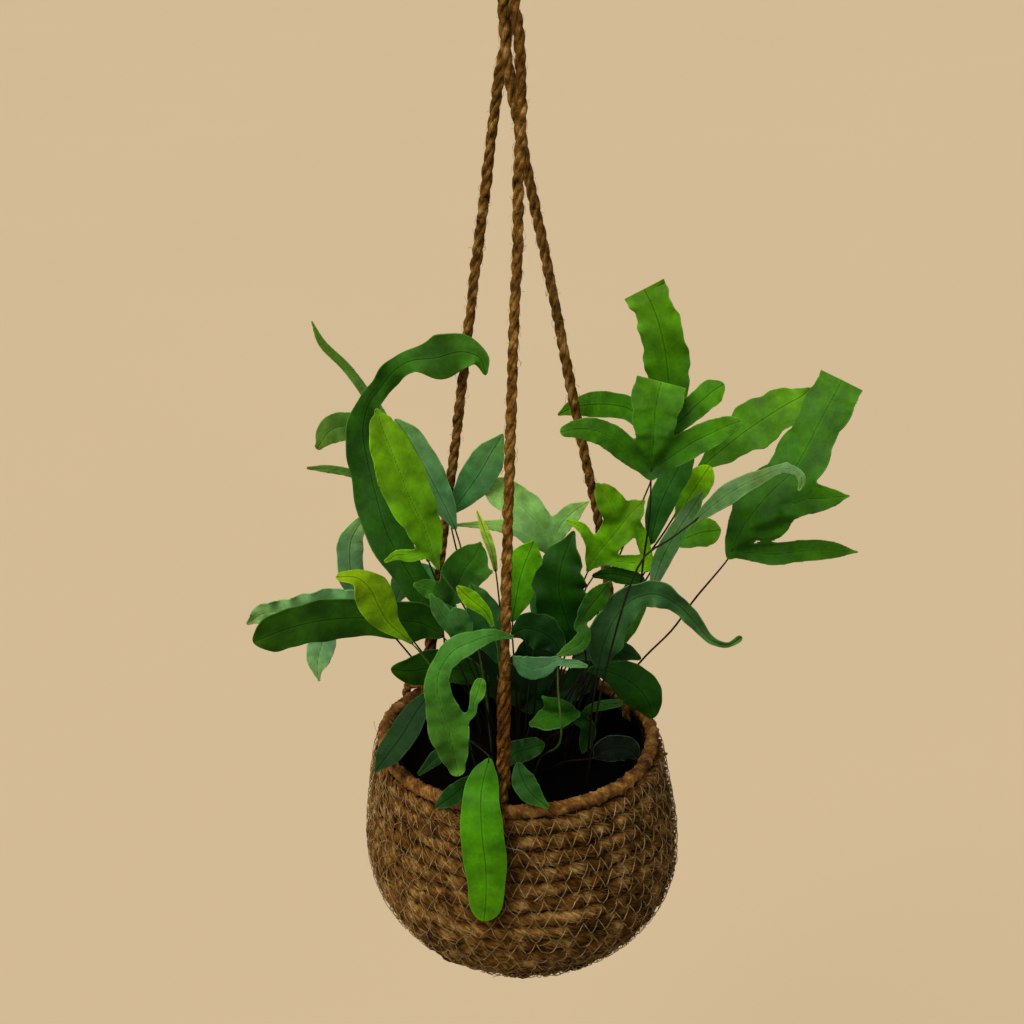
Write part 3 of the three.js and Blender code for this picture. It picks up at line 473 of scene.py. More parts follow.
def fibre_group():
    """Plant fibre: fine streaks along a strand, darker and paler lengths, and a rough height."""
    group = bpy.data.node_groups.new("plant_fibre", "ShaderNodeTree")
    face = group.interface
    for label, kind, value in (
        ("Dark", "NodeSocketColor", (0.02, 0.01, 0.004, 1)),
        ("Middle", "NodeSocketColor", (0.12, 0.06, 0.02, 1)),
        ("Pale", "NodeSocketColor", (0.4, 0.25, 0.1, 1)),
        ("Patch size", "NodeSocketFloat", 60.0),
    ):
        face.new_socket(label, in_out="INPUT", socket_type=kind).default_value = value
    face.new_socket("Color", in_out="OUTPUT", socket_type="NodeSocketColor")
    face.new_socket("Height", in_out="OUTPUT", socket_type="NodeSocketFloat")
    given = add(group, "NodeGroupInput").outputs
    along, around, strand = (mark(group, name) for name in ("along", "around", "strand"))
    turn = math_node(group, "MULTIPLY", around, 2 * math.pi)
    ring_x = math_node(group, "MULTIPLY", math_node(group, "COSINE", turn), STREAK_RING)
    ring_y = math_node(group, "MULTIPLY", math_node(group, "SINE", turn), STREAK_RING)
    shift = math_node(group, "MULTIPLY", strand, STRAND_SHIFT)
    run = math_node(group, "MULTIPLY_ADD", along, STREAK_RUN, shift)
    on_strand = add(group, "ShaderNodeCombineXYZ", {0: ring_x, 1: ring_y, 2: run}).outputs[0]
    streaks = noise(group, on_strand, STREAK_SCALE, 4.0, 0.65)
    patches = noise(group, own_place(group), given["Patch size"], 3.0, 0.6)
    both = math_node(group, "MULTIPLY_ADD", streaks, 0.55, math_node(group, "MULTIPLY", patches, 0.75))
    tone = ranged(group, both, 0.47, 0.86)
    low = mixed(group, math_node(group, "MULTIPLY", tone, 2.0), given["Dark"], given["Middle"])
    high_share = math_node(group, "MULTIPLY_ADD", tone, 2.0, -1.0)
    clamped = add(group, "ShaderNodeClamp", {0: high_share}).outputs[0]
    add(group, "NodeGroupOutput", {0: mixed(group, clamped, low, given["Pale"]), 1: streaks})
    return group


FIBRE = fibre_group()


def fibre_material(name, tones, patch_size, relief, shine=0.25):
    """A matt fibre surface in a dark, a middle and a pale tone."""
    material, tree = new_material(name)
    surface = add(tree, "ShaderNodeGroup", {"Patch size": patch_size}, node_tree=FIBRE)
    for label, tone in zip(("Dark", "Middle", "Pale"), tones):
        surface.inputs[label].default_value = linear(tone)
    end_material(tree, surface.outputs["Color"], 0.85, shine, surface.outputs["Height"], 1.0, relief)
    return material


jute = fibre_material("jute", ("#0f0701", "#8a5d1e", "#dfac60"), 150.0, 0.0009, 0.08)
jute_gold = fibre_material("jute_gold", ("#0e0601", "#74440f", "#c98f45"), 150.0, 0.0009, 0.08)
print("fibre surface:", len(FIBRE.nodes), "nodes")

# %% [markdown]
# ### Their routes
#
# The routes are the same points that the solids follow: pixel x and y in the photograph, and how many
# millimetres each lies behind the pot's middle. The strands turn once in 28 mm, as loosely laid jute does.

# %% Rope routes
RIM_DROP = 0.545
RIM_R = 0.0925
BASKET_WALL = 0.0095
ROPE_R = 0.0032
ROPE_PITCH = 0.028
SPLICE_LENGTH = 0.078
KNOT_X = -0.0045
KNOT_FOOT_Z = 0.470 - RIM_DROP
KNOT_H = 0.026
ROPE_IN_KNOT = 0.008
BELOW_KNOT = 0.002
PIECE_GAP = 0.0003
STRAIGHT_FOOT = 0.024  # the rope's last straight stretch, measured up from inside the rim
SPLICE_FOOT = 0.008
EYE_START = 0.012
EYE_END = 0.018
EYE_OVER = 0.003
EYE_ANGLES = (172, 200, 236, 272, 308, 344, 20, 56, 84, 112)
INSIDE_ANGLE = EYE_ANGLES[0]

ROPES = {
    "rope_front": {
        "turn": 263,
        "seat": (0.0035, -0.0022),
        "route": [
            (514, 4, -5), (517, 22, -6), (520, 48, -8), (521, 80, -9), (521, 115, -12), (520, 150, -15),
            (518, 190, -19), (518, 240, -24), (514, 328, -34), (510, 450, -48), (505, 640, -68),
        ],
    },
    "rope_back_left": {
        "turn": 143,
        "seat": (0, 0.0041),
        "route": [
            (511, 4, 6), (509, 24, 7), (505, 48, 8), (500, 72, 7.5), (495.5, 104, 8.5), (491, 140, 9.5),
            (486, 184, 11), (475, 272, 15), (463.5, 370, 21), (454.5, 450, 27), (447, 505, 31),
        ],
    },
    "rope_back_right": {
        "turn": 24,
        "seat": (-0.0035, -0.0022),
        "route": [
            (503, 4, -1), (504, 24, -0.5), (506, 48, 0), (509, 72, -0.5), (512, 92, 0.5), (518, 120, 2),
            (524, 155, 4), (532, 194, 6), (542, 240, 8), (555, 304, 11), (567.5, 370, 14), (583.5, 450, 18),
            (598.5, 520, 22),
        ],
    },
}

RIM_COIL_R = RIM_R - BASKET_WALL / 2
EYE_BEND_R = BASKET_WALL / 2 + ROPE_R + PIECE_GAP


def on_rim_bend(turn, angle):
    """A place on a rope's bend round the rim: 0 outside, 90 over the top, 180 inside."""
    t = math.radians(turn)
    a = math.radians(angle)
    out = RIM_COIL_R + EYE_BEND_R * math.cos(a)
    return np.array([out * math.cos(t), out * math.sin(t), EYE_BEND_R * math.sin(a) - RIM_DROP])


def rope_lines(turn, seat, route):
    """The rope's standing line from the rim up to the knot, and the eye and splice at its foot."""
    inside = on_rim_bend(turn, INSIDE_ANGLE)
    foot = np.array([KNOT_X + seat[0], seat[1], KNOT_FOOT_Z])
    in_knot = foot + (0, 0, ROPE_IN_KNOT - PIECE_GAP)
    places = [seen(*point) for point in route]
    up = (places[-1] - inside) / np.linalg.norm(places[-1] - inside)
    down = [foot - (0, 0, BELOW_KNOT), *places, inside + up * SPLICE_LENGTH, inside + up * STRAIGHT_FOOT]
    standing = np.vstack([[in_knot], even_way(down, 150), [inside]])
    *bend, over = [on_rim_bend(turn, a) for a in EYE_ANGLES]
    eye = even_way([inside + up * EYE_START, *bend, over + up * EYE_OVER, inside + up * EYE_END], 60)
    splice = np.array([inside + up * h for h in np.linspace(SPLICE_FOOT, SPLICE_LENGTH, 30)])
    return standing[::-1], eye, splice


print("ropes:", len(ROPES), "with a turn every", ROPE_PITCH, "m")

# %% Ropes
STRAND_REACH = 0.00155
STRAND_R = 0.0018
rope_paths = {}
for name, spec in ROPES.items():
    standing, eye, splice = rope_lines(**spec)
    rope_paths[name] = standing
    stranded(
        name, name + "_strands", [standing], jute, turns=length_of(standing) / ROPE_PITCH,
        reach=STRAND_REACH, strand_radius=STRAND_R, unevenness=0.7, sides=10, seed=float(spec["turn"]),
    )
    stranded(
        name, name + "_eye", [eye], jute, turns=length_of(eye) / ROPE_PITCH, reach=STRAND_REACH,
        strand_radius=0.00165, unevenness=0.35, sides=8, seed=2.0,
    )
    stranded(
        name, name + "_splice", [splice], jute_gold, turns=1.6, strands=5, reach=0.0031,
        strand_radius=0.0013, unevenness=1.1, sides=8, seed=5.0,
    )
    print(name, "is", round(length_of(standing), 4), "m long")

# %% [markdown]
# ## Knot and loop
#
# The ropes are gathered above the picture. On the real thing they would be whipped together: one rope
# wound a few times round the others, with a loop left standing to hang it by. Both are the same twisted
# strands, laid round a helix and round a bow.

# %% Knot
KNOT_R = 0.0125
KNOT_BELLY = 0.0022
KNOT_WRAPS = 4
WRAP_STEPS = 24


def knot_lines():
    """A helix round the gathered ropes, bellied at its middle, and a core to fill it."""
    helix = []
    for i in range(KNOT_WRAPS * WRAP_STEPS + 1):
        share = i / (KNOT_WRAPS * WRAP_STEPS)
        a = 2 * math.pi * KNOT_WRAPS * share
        out = KNOT_R - ROPE_R - KNOT_BELLY * abs(2 * share - 0.9)
        z = KNOT_FOOT_Z + ROPE_R + (KNOT_H - 2 * ROPE_R) * share
        helix.append((KNOT_X + out * math.cos(a), out * math.sin(a), z))
    core = [(KNOT_X, 0, KNOT_FOOT_Z + KNOT_H * share) for share in np.linspace(0.08, 0.9, 6)]
    return np.array(helix), np.array(core)


helix, core = knot_lines()
knot = stranded(
    "top_knot", "top_knot_wraps", [helix], jute, turns=length_of(helix) / ROPE_PITCH, reach=0.0016,
    strand_radius=0.0017, unevenness=0.3, sides=8, seed=7.0,
)
knot_core = stranded(
    "top_knot", "top_knot_core", [core], jute, turns=0.6, strands=5, reach=0.0046,
    strand_radius=0.0035, sides=10, seed=9.0,
)

# %% Hanging loop
LOOP_HALF = 0.015
LEG_APART = 0.004


def loop_line():
    """The bow that the piece hangs by: its inside rests on the hook, at the origin."""
    crown = KNOT_FOOT_Z + KNOT_H
    rise = ROPE_R - crown

    def side(s):
        leg = KNOT_X + s * LEG_APART
        return [
            (leg, 0, crown + 0.0015),
            (leg * 0.7 + s * LOOP_HALF * 0.3, 0, crown + rise * 0.2),
            (s * LOOP_HALF, 0, crown + rise * 0.6),
            (s * LOOP_HALF * 0.72, 0, crown + rise * 0.89),
        ]

    bow = even_way([*side(-1), (0, 0, ROPE_R), *side(1)[::-1]], 90)
    foot = crown - ROPE_IN_KNOT + PIECE_GAP
    ends = [(KNOT_X + s * LEG_APART, 0, foot) for s in (-1, 1)]
    return np.vstack([[ends[0]], bow, [ends[1]]])


bow = loop_line()
loop = stranded(
    "hanging_loop", "hanging_loop_strands", [bow], jute, turns=length_of(bow) / ROPE_PITCH,
    reach=0.0016, strand_radius=0.00172, unevenness=0.3, sides=8, seed=11.0,
)

# %% [markdown]
# ## Basket
#
# The basket is one long coil of loose plant fibre, laid up row on row and sewn with a thin pale thread.
# Each stitch leans one way and the next leans back, so that the thread makes a row of V's, and pulls the
# fibres in. Between the stitches the fibres bulge and leave dark slits between the rows.
#
# A turned shape with a bump would keep the outline but lose the slits and the fray. So each row is a
# bundle of real strands laid by the same tree, round a dark core that stops one seeing through. The core's
# dark fibre is painted shade: the inner fibres as they look in the shade of the slits.

# %% The basket's profile
BASKET_H = 0.143
BASE_R = 0.064
COIL_ROWS = 15
BASE_SWAY = 0.0055
BELLY = ((RIM_R + 0.0115, -BASKET_H * 0.5), (RIM_R + 0.024, -BASKET_H * 0.735))
PROFILE = np.array([(RIM_R, 0), *BELLY, (BASE_R, -BASKET_H)])
COIL_R = 0.0046


def profile_at(share):
    """Radius and height below the rim on the outer profile, at a share of its length."""
    t = np.linspace(0, 1, 400)[:, None]
    a, b, c, d = PROFILE
    fine = (1 - t) ** 3 * a + 3 * t * (1 - t) ** 2 * b + 3 * t * t * (1 - t) * c + t**3 * d
    run = run_along(fine)
    wanted = np.asarray(share) * run[-1]
    return np.interp(wanted, run, fine[:, 0]), np.interp(wanted, run, fine[:, 1])


def profile_normal(share):
    """The outward direction of the profile, as radius and height."""
    r0, z0 = profile_at(max(share - 0.005, 0))
    r1, z1 = profile_at(min(share + 0.005, 1))
    way = np.array([r1 - r0, z1 - z0])
    way /= np.linalg.norm(way)
    return np.array([-way[1], way[0]]) * (1 if way[1] < 0 else -1)


def leaning(r, z, angle):
    """A place at a radius and a height below the rim, leaning as the hand-made basket does."""
    lean = BASE_SWAY * min(max(-z / BASKET_H, 0), 1)
    return (r * math.cos(angle) + lean, r * math.sin(angle), z - RIM_DROP)


def on_basket(share, angle, out=0.0):
    """A place on the basket's side, out from its profile."""
    r, z = profile_at(share)
    normal = profile_normal(share)
    return leaning(r + normal[0] * out, z + normal[1] * out, angle)


widest = float(profile_at(np.linspace(0, 1, 50))[0].max())
print("basket:", BASKET_H, "m deep and", round(2 * widest, 4), "m wide")


# %% Rows of fibre
fibre = fibre_material("basket_fibre", ("#100701", "#86581e", "#eabb6c"), 85.0, 0.0011, 0.1)
fibre_red = fibre_material("rim_fibre", ("#190c03", "#925e1f", "#e6b15e"), 120.0, 0.0011)
thread = fibre_material("stitch_thread", ("#5e4620", "#ab8c5b", "#e2c998"), 160.0, 0.0002)
frayed = fibre_material("frayed_fibre", ("#4a3010", "#9c7232", "#d8ae66"), 140.0, 0.0002)
RING_STEPS = 220
RING_ANGLES = [2 * math.pi * step / RING_STEPS for step in range(RING_STEPS)]
ROW_REACH = 0.0026
ROW_STRAND_R = 0.0022
FIBRE_REACH = 0.0047
FIBRE_R = 0.0007
STITCHES = 72


def row_ring(row):
    """The middle line of one row of the coil."""
    share = row / COIL_ROWS
    ring = []
    for a in RING_ANGLES:
        wander = 0.0006 * math.sin(3 * a + row * 1.7) + 0.0004 * math.sin(7 * a + row * 2.3)
        wander += 0.0003 * math.sin(23 * a + row * 4.1)
        ring.append(on_basket(min(share + wander, 0.995), a, -COIL_R + wander))
    return ring


for first, last in ((1, 6), (6, 11), (11, COIL_ROWS)):
    rows = [row_ring(row) for row in range(first, last)]
    stranded(
        "basket", f"basket_rows_{first}", rows, fibre, closed=True, strands=5, turns=30.0,
        reach=ROW_REACH, strand_radius=ROW_STRAND_R, unevenness=1.5, sides=8, pinches=float(STITCHES),
        pinch_depth=0.22, seed=float(first),
    )
    stranded(
        "basket", f"basket_fibres_{first}", rows, fibre, closed=True, strands=9, turns=11.0,
        reach=FIBRE_REACH, strand_radius=FIBRE_R, unevenness=1.6, sides=4, pinches=float(STITCHES),
        pinch_depth=0.1, seed=float(first) + 50,
    )

stranded(
    "basket", "basket_rim_coil", [row_ring(0)], fibre_red, closed=True, strands=7, turns=40.0,
    reach=0.0032, strand_radius=0.0014, unevenness=1.0, sides=8, seed=20.0,
)

# %% Underside and core
BASE_RINGS = 6
BASE_EDGE = 0.006
BASE_LIFT = 0.0049
TURNED_SIDES = 96


def base_rings():
    """Rings of the coil under the basket, from its edge to its middle."""
    rings = []
    for k in range(BASE_RINGS):
        out = (BASE_R - BASE_EDGE) * (1 - k / BASE_RINGS)
        z = -BASKET_H - RIM_DROP + BASE_LIFT
        rings.append([(out * math.cos(a) + BASE_SWAY, out * math.sin(a), z) for a in RING_ANGLES])
    return rings


stranded(
    "basket", "basket_base", base_rings(), fibre, closed=True, strands=7, turns=5.0, reach=ROW_REACH,
    strand_radius=ROW_STRAND_R, unevenness=0.8, sides=6, seed=31.0,
)


def turned_mesh(name, outline, material):
    """A closed outline of radius and height turned about the pot's middle, leaning as the basket does."""
    places = []
    faces = []
    count = len(outline)
    for step in range(TURNED_SIDES):
        a = 2 * math.pi * step / TURNED_SIDES
        places.extend(leaning(r, z, a) for r, z in outline)
    for step in range(TURNED_SIDES):
        after = (step + 1) % TURNED_SIDES
        for i in range(count):
            j = (i + 1) % count
            faces.append((step * count + i, after * count + i, after * count + j, step * count + j))
    return mesh_object(name, places, faces, material)


CORE_WALL = 0.0035
CORE_FLOOR = 0.004
core_outer = [profile_at(share) for share in np.linspace(0.01, 0.985, 24)]
core_wall = [(float(r) - COIL_R, float(z)) for r, z in core_outer]
core_inner = [(r - CORE_WALL, z + (CORE_FLOOR if r < BASE_R + 0.02 else 0)) for r, z in core_wall[::-1]]
# Painted shade: the core's fibre is far darker than the rows, as inner fibres look between them.
shaded_core_fibre = fibre_material("core_fibre", ("#140c05", "#2e1c0c", "#4e341a"), 60.0, 0.0006)
basket_core = owned(turned_mesh("basket_core", [*core_wall, *core_inner], shaded_core_fibre), "basket")
print("core:", len(basket_core.data.polygons), "faces")


# %% Stitches
STITCH_BULGE = 0.002
STITCH_R = 0.00023


def stitch_lines():
    """A zigzag of thread over each row, one line a row."""
    lines = []
    generator = np.random.default_rng(8)
    for row in range(1, COIL_ROWS):
        line = []
        count = STITCHES - 2 * row
        shift = generator.uniform(0, 1)
        for k in range(2 * count):
            a = 2 * math.pi * (k + shift + generator.normal(0, 0.2)) / (2 * count)
            low = k % 2
            for part in np.linspace(0, 1, 4)[:-1]:
                rise = (1 - part) if low else part
                share = (row - 0.5 + rise) / COIL_ROWS
                share = min(max(share, 0.002), 0.985)
                bulge = STITCH_BULGE * math.sin(math.pi * rise)
                step = 2 * math.pi * part / (2 * count)
                line.append(on_basket(share, a + step, bulge - 0.0001))
        lines.append(line)
    return lines


stranded(
    "basket", "basket_stitches", stitch_lines(), thread, closed=True, strands=1, turns=0.0, reach=0.0,
    strand_radius=STITCH_R, unevenness=0.9, sides=4,
)


# %% One tree for what is strewn over a surface
def strewn_tree():
    """Copies of one small shape over a surface, laid mostly along it, in uneven sizes."""
    tree, given = new_tree(
        "strewn",
        {
            "Shape": ("NodeSocketObject", None),
            "Density": ("NodeSocketFloat", 1000.0),
            "Tilt": ("NodeSocketFloat", 0.5),
            "Least size": ("NodeSocketFloat", 0.5),
            "Most size": ("NodeSocketFloat", 1.5),
            "Seed": ("NodeSocketInt", 1),
            "Material": ("NodeSocketMaterial", None),
        },
    )
    spots_inputs = {"Mesh": given["Geometry"], "Density": given["Density"], "Seed": given["Seed"]}
    spots = add(tree, "GeometryNodeDistributePointsOnFaces", spots_inputs)
    shape = add(tree, "GeometryNodeObjectInfo", {"Object": given["Shape"]})
    back = math_node(tree, "MULTIPLY", given["Tilt"], -1.0)
    low = add(tree, "ShaderNodeCombineXYZ", {0: back, 1: back, 2: -math.pi})
    high = add(tree, "ShaderNodeCombineXYZ", {0: given["Tilt"], 1: given["Tilt"], 2: math.pi})
    turn_range = {0: low.outputs[0], 1: high.outputs[0], "Seed": given["Seed"]}
    turn = add(tree, "FunctionNodeRandomValue", turn_range, data_type="FLOAT_VECTOR")
    turned_by = add(tree, "FunctionNodeEulerToRotation", {0: turn.outputs[0]})
    facing = {0: spots.outputs["Rotation"], 1: turned_by.outputs[0]}
    aimed = add(tree, "FunctionNodeRotateRotation", facing, rotation_space="LOCAL")
    size_range = {2: given["Least size"], 3: given["Most size"]}
    size = add(tree, "FunctionNodeRandomValue", size_range, data_type="FLOAT")
    copies = {"Points": spots.outputs["Points"], "Instance": shape.outputs["Geometry"]}
    copies.update({"Rotation": aimed.outputs[0], "Scale": size.outputs[1]})
    laid = add(tree, "GeometryNodeInstanceOnPoints", copies)
    return finish_tree(tree, laid.outputs[0], given["Material"])


STREWN = strewn_tree()
HAIR_RINGS = 6
print("strewn:", len(STREWN.nodes), "nodes")


def hair_shape(name, length, bow, radius):
    """A thin three-sided hair along X that bows up and back down, for strewing."""
    places = []
    for i in range(HAIR_RINGS):
        t = i / (HAIR_RINGS - 1)
        centre = np.array([(t - 0.5) * length, 0.2 * bow * math.sin(5 * t), bow * math.sin(math.pi * t)])
        thin = radius * (1 - 0.8 * t)
        for a in (2 * math.pi * k / 3 for k in range(3)):
            places.append(centre + np.array([0, thin * math.cos(a), thin * math.sin(a)]))
    last = 3 * HAIR_RINGS
    ends = [(2, 1, 0), (last - 3, last - 2, last - 1)]
    return mesh_object(name, places, [*tube_faces(HAIR_RINGS, 3), *ends])


def strewn(name, surface, shape, material, **settings):
    """Copies of the shape over the surface, as one piece; the surface itself goes."""
    named = {**in_words(settings), "Shape": shape, "Material": material}
    made = grown(name, surface, STREWN, named)
    bpy.data.objects.remove(surface)
    print(name, len(made.data.polygons), "faces")
    return made


# %% Stray fibres
SKIN_LIFT = 0.0004
SKIN_THICK = 0.0005
skin_outline = [profile_at(share) for share in np.linspace(0.0, 0.97, 24)]
skin_outer = [(float(r) + SKIN_LIFT, float(z)) for r, z in skin_outline]
skin_inner = [(r - SKIN_THICK, z) for r, z in skin_outer[::-1]]
basket_skin = turned_mesh("basket_skin", [*skin_outer, *skin_inner], None)
hair = hair_shape("hair", 0.017, 0.0022, 0.00022)
stray = strewn(
    "basket_stray_fibres", basket_skin, hair, frayed, density=6500.0, tilt=0.25, least_size=0.35,
    most_size=1.1, seed=4,
)
owned(stray, "basket")

# %% Hairs on the ropes
ROPE_SKIN = 0.0029
fuzz = hair_shape("fuzz", 0.006, 0.0012, 0.00012)
for number, (name, path) in enumerate(rope_paths.items()):
    skin = mesh_object("rope_skin", *tube(path, [ROPE_SKIN] * len(path), 8))
    hairs = strewn(
        name + "_hairs", skin, fuzz, frayed, density=42000.0, tilt=0.55, least_size=0.4, most_size=1.4,
        seed=20 + number,
    )
    owned(hairs, name)

# %% A thread that has come loose
LOOSE_THREAD_PX = [
    (505, 846), (512, 849), (522, 851), (531, 860), (538, 869), (546, 878), (547, 888), (541, 895),
    (534, 901),
]
THREAD_LIFT = 0.0016


def on_basket_seen(x, y):
    """The place just off the basket's front that is seen at a pixel."""
    front = np.linspace(math.radians(200), math.radians(340), 90)
    shares, angles = (g.ravel() for g in np.meshgrid(np.linspace(0.02, 0.95, 60), front))
    spots = np.array([on_basket(share, a, THREAD_LIFT) for share, a in zip(shares, angles)])
    apart = np.linalg.norm(to_pixels(spots) - (x, y), axis=1)
    near = np.argsort(apart)[:3]
    weight = 1 / (apart[near] + 0.01)
    return (spots[near] * weight[:, None]).sum(axis=0) / weight.sum()


loose_way = even_way([on_basket_seen(x, y) for x, y in LOOSE_THREAD_PX], 50)
stranded(
    "basket", "basket_loose_thread", [loose_way], thread, strands=1, turns=0.0, reach=0.0,
    strand_radius=0.0003, unevenness=0.4, sides=5,
)

# %% [markdown]
# ## Liner and soil
#
# The inside of the basket is black up to the rim: a thin sheet liner, with damp soil lower down. Both
# are made darker than they are, as painted shade deep in the basket. The liner's solid is right as it is
# and only needs its surface. The soil keeps its solid, and gets crumbs.


# %% Liner
def sheet_material():
    """Black sheet with soft creases, made darker than black sheet is, as painted shade inside the basket.
    """
    material, tree = new_material("liner_sheet")
    creases = noise(tree, own_place(tree), 35.0, 5.0)
    # Painted shade: these tones lie far below black plastic, as the liner looks in the basket's shade.
    tone = mixed(tree, creases, (0.0006, 0.0006, 0.0006, 1), (0.0018, 0.0016, 0.0014, 1))
    end_material(tree, tone, ranged(tree, creases, 0.0, 1.0, 0.45, 0.75), 0.04, creases, 0.6, 0.002)
    return material


def dress(node, material):
    """Gives a solid that stays its material."""
    for slot in frame["nodes"][node].material_slots:
        slot.material = material
    print(node, "keeps its solid, in", material.name)


dress("liner", sheet_material())


# %% Soil
SOIL_TOP_Z = -0.0195
SOIL_EDGE_Z = -0.0235
SOIL_TOP_R = 0.079
SOIL_SIDES = 40
SOIL_PEAK_X = 0.003
SOIL_SHIFT = 0.001
CRUMB = 0.0013


def soil_material():
    """Damp dark soil with paler specks, made darker still as painted shade down in the basket."""
    material, tree = new_material("soil_damp_and_shaded")
    place = own_place(tree)
    grains = noise(tree, place, 350.0, 6.0)
    specks = add(tree, "ShaderNodeTexVoronoi", {"Vector": place, "Scale": 500.0}).outputs["Distance"]
    tone = add(tree, "ShaderNodeValToRGB", {0: math_node(tree, "MULTIPLY", grains, specks)})
    # Partly damp soil's own dark, partly painted shade: both tones lie far below real soil.
    tone.color_ramp.elements[0].color = (0.0005, 0.0004, 0.0002, 1)
    tone.color_ramp.elements[1].color = (0.004, 0.0028, 0.0014, 1)
    end_material(tree, tone.outputs["Color"], 0.9, 0.03, grains, 1.0, 0.002)
    return material


soil_dark = soil_material()
dress("soil", soil_dark)


def crumb_shape():
    """A small uneven lump."""
    waist = [(1, 0, 0.1), (0.2, 0.9, 0), (-0.9, 0.3, 0.2), (-0.4, -0.8, 0), (0.6, -0.7, 0.1)]
    places = [*waist, (0, 0.1, 0.8), (0, 0, -0.6)]
    faces = []
    for i in range(5):
        j = (i + 1) % 5
        faces.append((i, j, 5))
        faces.append((j, i, 6))
    return mesh_object("crumb", [np.array(p) * CRUMB for p in places], faces, smooth=False)


def soil_top():
    """A disc at the soil's level, a little domed, to strew crumbs over."""
    places = [(SOIL_PEAK_X, 0, SOIL_TOP_Z - RIM_DROP)]
    faces = []
    for i in range(SOIL_SIDES):
        a = 2 * math.pi * i / SOIL_SIDES
        x = SOIL_TOP_R * math.cos(a) + SOIL_SHIFT
        places.append((x, SOIL_TOP_R * math.sin(a), SOIL_EDGE_Z - RIM_DROP))
        faces.append((0, 1 + i, 1 + (i + 1) % SOIL_SIDES))
    return mesh_object("soil_top", places, faces)


crumb = crumb_shape()
crumbs = strewn(
    "soil_crumbs", soil_top(), crumb, soil_dark, density=230000.0, tilt=3.0, least_size=0.5,
    most_size=1.8, seed=6,
)
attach(crumbs, "root")
for helper in (hair, fuzz, crumb):
    bpy.data.objects.remove(helper)

# %% [markdown]
# ## Fronds
#
# Each frond is a midrib route read from the photograph: where it is seen, how deep it lies, and how wide
# the blade is. Roll turns the blade about its midrib, fold turns both edges away, wave ruffles them.
# Lobes leave the midrib at a share of its points. The solids follow the same table with few faces.
#
# A leaf could be a picture of a leaf on a flat card. Seen from the side that fails, so every blade is a
# real thin body. A plain blade is a strip, with rows across it from edge to edge. A lobed one can't be a
# strip, for strips that cross leave hard seams, while a real leaf runs smoothly from lobe to lobe. It is
# laid out as a field instead: how far each place lies inside the nearest lobe. Fields add up smoothly,
# which rounds the hollows between the lobes, and the leaf's outline is where the field falls to nothing.


# %% The table of fronds
def lobe(at, route, **shape):
    """A lobe that leaves its blade at a share of the blade's points; depths count from there."""
    return {"at": at, "route": route, "roll": 0, "fold": 0, "wave": (0.6, 3), "cut": False, **shape}


def frond(name, colour, route, **more):
    """A frond: its route as (x, y, deep, half width), and what differs from a plain blade."""
    plain = {"roll": 0, "fold": 0, "wave": (0.6, 3), "stem": [], "lobes": [], "root": None, "cut": False}
    return {**plain, "name": "frond_" + name, "colour": colour, "route": route, **more}
